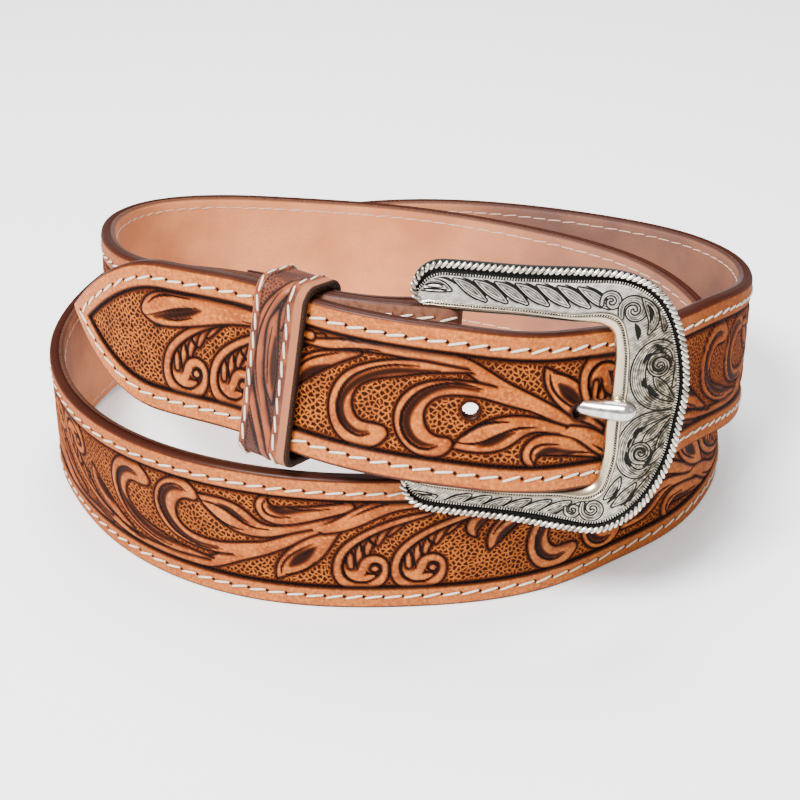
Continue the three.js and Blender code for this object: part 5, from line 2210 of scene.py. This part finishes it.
@dataclass
class Studio:
    """Plain pale floor, soft light and the camera."""

    eye: tuple = (-0.00015, -0.41685, 0.24715)
    pitch: float = 28.76
    lens: float = 76.48
    floor_half: float = 3.0
    pale: tuple = (0.93, 0.93, 0.93)
    glow: float = 0.36
    surround: float = 0.62
    aim: tuple = (0.0, 0.0, 0.045)
    lamps: tuple = (("key_lamp", (-0.42, -0.62, 0.92), 0.4, 37.0),
                    ("fill_lamp", (0.85, -0.60, 0.6), 0.6, 1.0),
                    ("top_lamp", (0.06, 0.35, 1.1), 0.6, 16.0))

    def floor(self) -> bpy.types.Object:
        """Lays the floor.

        Returns:
            The floor.
        """
        h = self.floor_half
        mesh = bpy.data.meshes.new("floor")
        mesh.from_pydata([(-h, -h, 0), (h, -h, 0), (h, h, 0), (-h, h, 0)], [], [(0, 1, 2, 3)])
        paint = Paint("pale_floor")
        paint.shader.inputs["Emission Color"].default_value = (1.0, 1.0, 1.0, 1.0)
        paint.shader.inputs["Emission Strength"].default_value = self.glow
        mesh.materials.append(paint.finish(self.pale, 0.9, shine=0.1))
        return stand(mesh)

    def camera(self) -> None:
        """Sets the camera at the photograph's angle."""
        data = bpy.data.cameras.new("camera")
        data.lens = self.lens
        data.sensor_width = 36.0
        data.clip_start = 0.01
        camera = stand(data)
        camera.location = self.eye
        camera.rotation_euler = (math.radians(90 - self.pitch), 0.0, 0.0)
        bpy.context.scene.camera = camera

    def lamp(self, name: str, place: tuple, size: float, power: float) -> None:
        """Hangs one soft lamp that looks at the belt.

        Args:
            name: the lamp's name.
            place: where it hangs.
            size: its diameter.
            power: its power.
        """
        data = bpy.data.lights.new(name, "AREA")
        data.shape = "DISK"
        data.size = size
        data.energy = power
        lamp = stand(data)
        lamp.location = place
        aim = Vector(self.aim) - Vector(place)
        lamp.rotation_euler = aim.to_track_quat("-Z", "Y").to_euler()

    def light(self) -> None:
        """Sets the lamps and a pale surround."""
        for name, place, size, power in self.lamps:
            self.lamp(name, place, size, power)
        world = bpy.data.worlds.new("surround")
        world.use_nodes = True
        background = world.node_tree.nodes["Background"].inputs
        background["Color"].default_value = (1.0, 1.0, 1.0, 1.0)
        background["Strength"].default_value = self.surround
        bpy.context.scene.world = world


def main() -> None:
    """Builds the sub-assemblies in order and reports each piece."""
    logging.basicConfig(level=logging.INFO, format="%(message)s")
    strap = Strap()
    leather = OuterLeather(strap)
    tooled = TooledLeather().make()
    thread = Thread().make()
    # Darker thread for the lining's stitches, as painted shade.
    shaded_thread = Thread("thread_in_shade", (0.60, 0.42, 0.33), (0.34, 0.21, 0.15)).make()
    for part in STRETCHES:
        declare(leather.stretch(part), "tooled_leather", tooled, "strap_outer")
    fold = leather.buckle_end("buckle_fold", STRETCHES[-1].stop)
    declare(fold, "tooled_leather", tooled, "strap_outer")
    declare(leather.hole_rims("hole_rims"), "tooled_leather", tooled, "strap_outer")
    plain = LiningLeather().make()
    declare(Lining(strap).make("inner_lining"), "lining_leather", plain, "strap_lining")
    stitching = Stitching(leather)
    declare(stitching.make("strap_stitches", 1, thread), None, thread, "strap_outer")
    declare(stitching.make("lining_stitches", -1, shaded_thread), None, shaded_thread, "strap_lining")
    keeper = Keeper(strap)
    declare(keeper.make("keeper"), "keeper_leather", KeeperLeather().make(), "keeper_loop")
    declare(keeper.stitches("keeper_stitches", thread), None, thread, "keeper_loop")
    buckle = Buckle(strap)
    silver = PlainSilver().make()
    declare(buckle.plate("buckle_plate"), "buckle_silver", EngravedSilver().make(), "buckle_frame")
    declare(buckle.rope("rope_edge", silver), "buckle_silver", silver, "buckle_frame")
    for label, inset, outer in (("outer_milling", 3.12, True), ("inner_milling", 2.64, False)):
        declare(buckle.beads(label, inset, outer, silver), "buckle_silver", silver, "buckle_frame")
    darkened = PlainSilver("aged_silver", (0.060, 0.045, 0.036), (0.020, 0.016, 0.014), 0.5).make()
    declare(buckle.bar("buckle_bar"), "buckle_silver", darkened, "buckle_frame")
    for label, side in (("upper_lug", 1), ("lower_lug", -1)):
        declare(buckle.lug(label, side), "buckle_silver", darkened, "buckle_frame")
    tongue = Tongue(buckle)
    bright = PlainSilver("tongue_silver", (0.74, 0.71, 0.66), (0.40, 0.37, 0.33), 0.16).make()
    declare(tongue.prong("tongue_prong"), "tongue_silver", bright, "buckle_tongue")
    declare(tongue.ring("tongue_ring"), "tongue_silver", bright, "buckle_tongue")
    studio = Studio()
    studio.floor()
    studio.camera()
    studio.light()


if __name__ == "__main__":
    main()
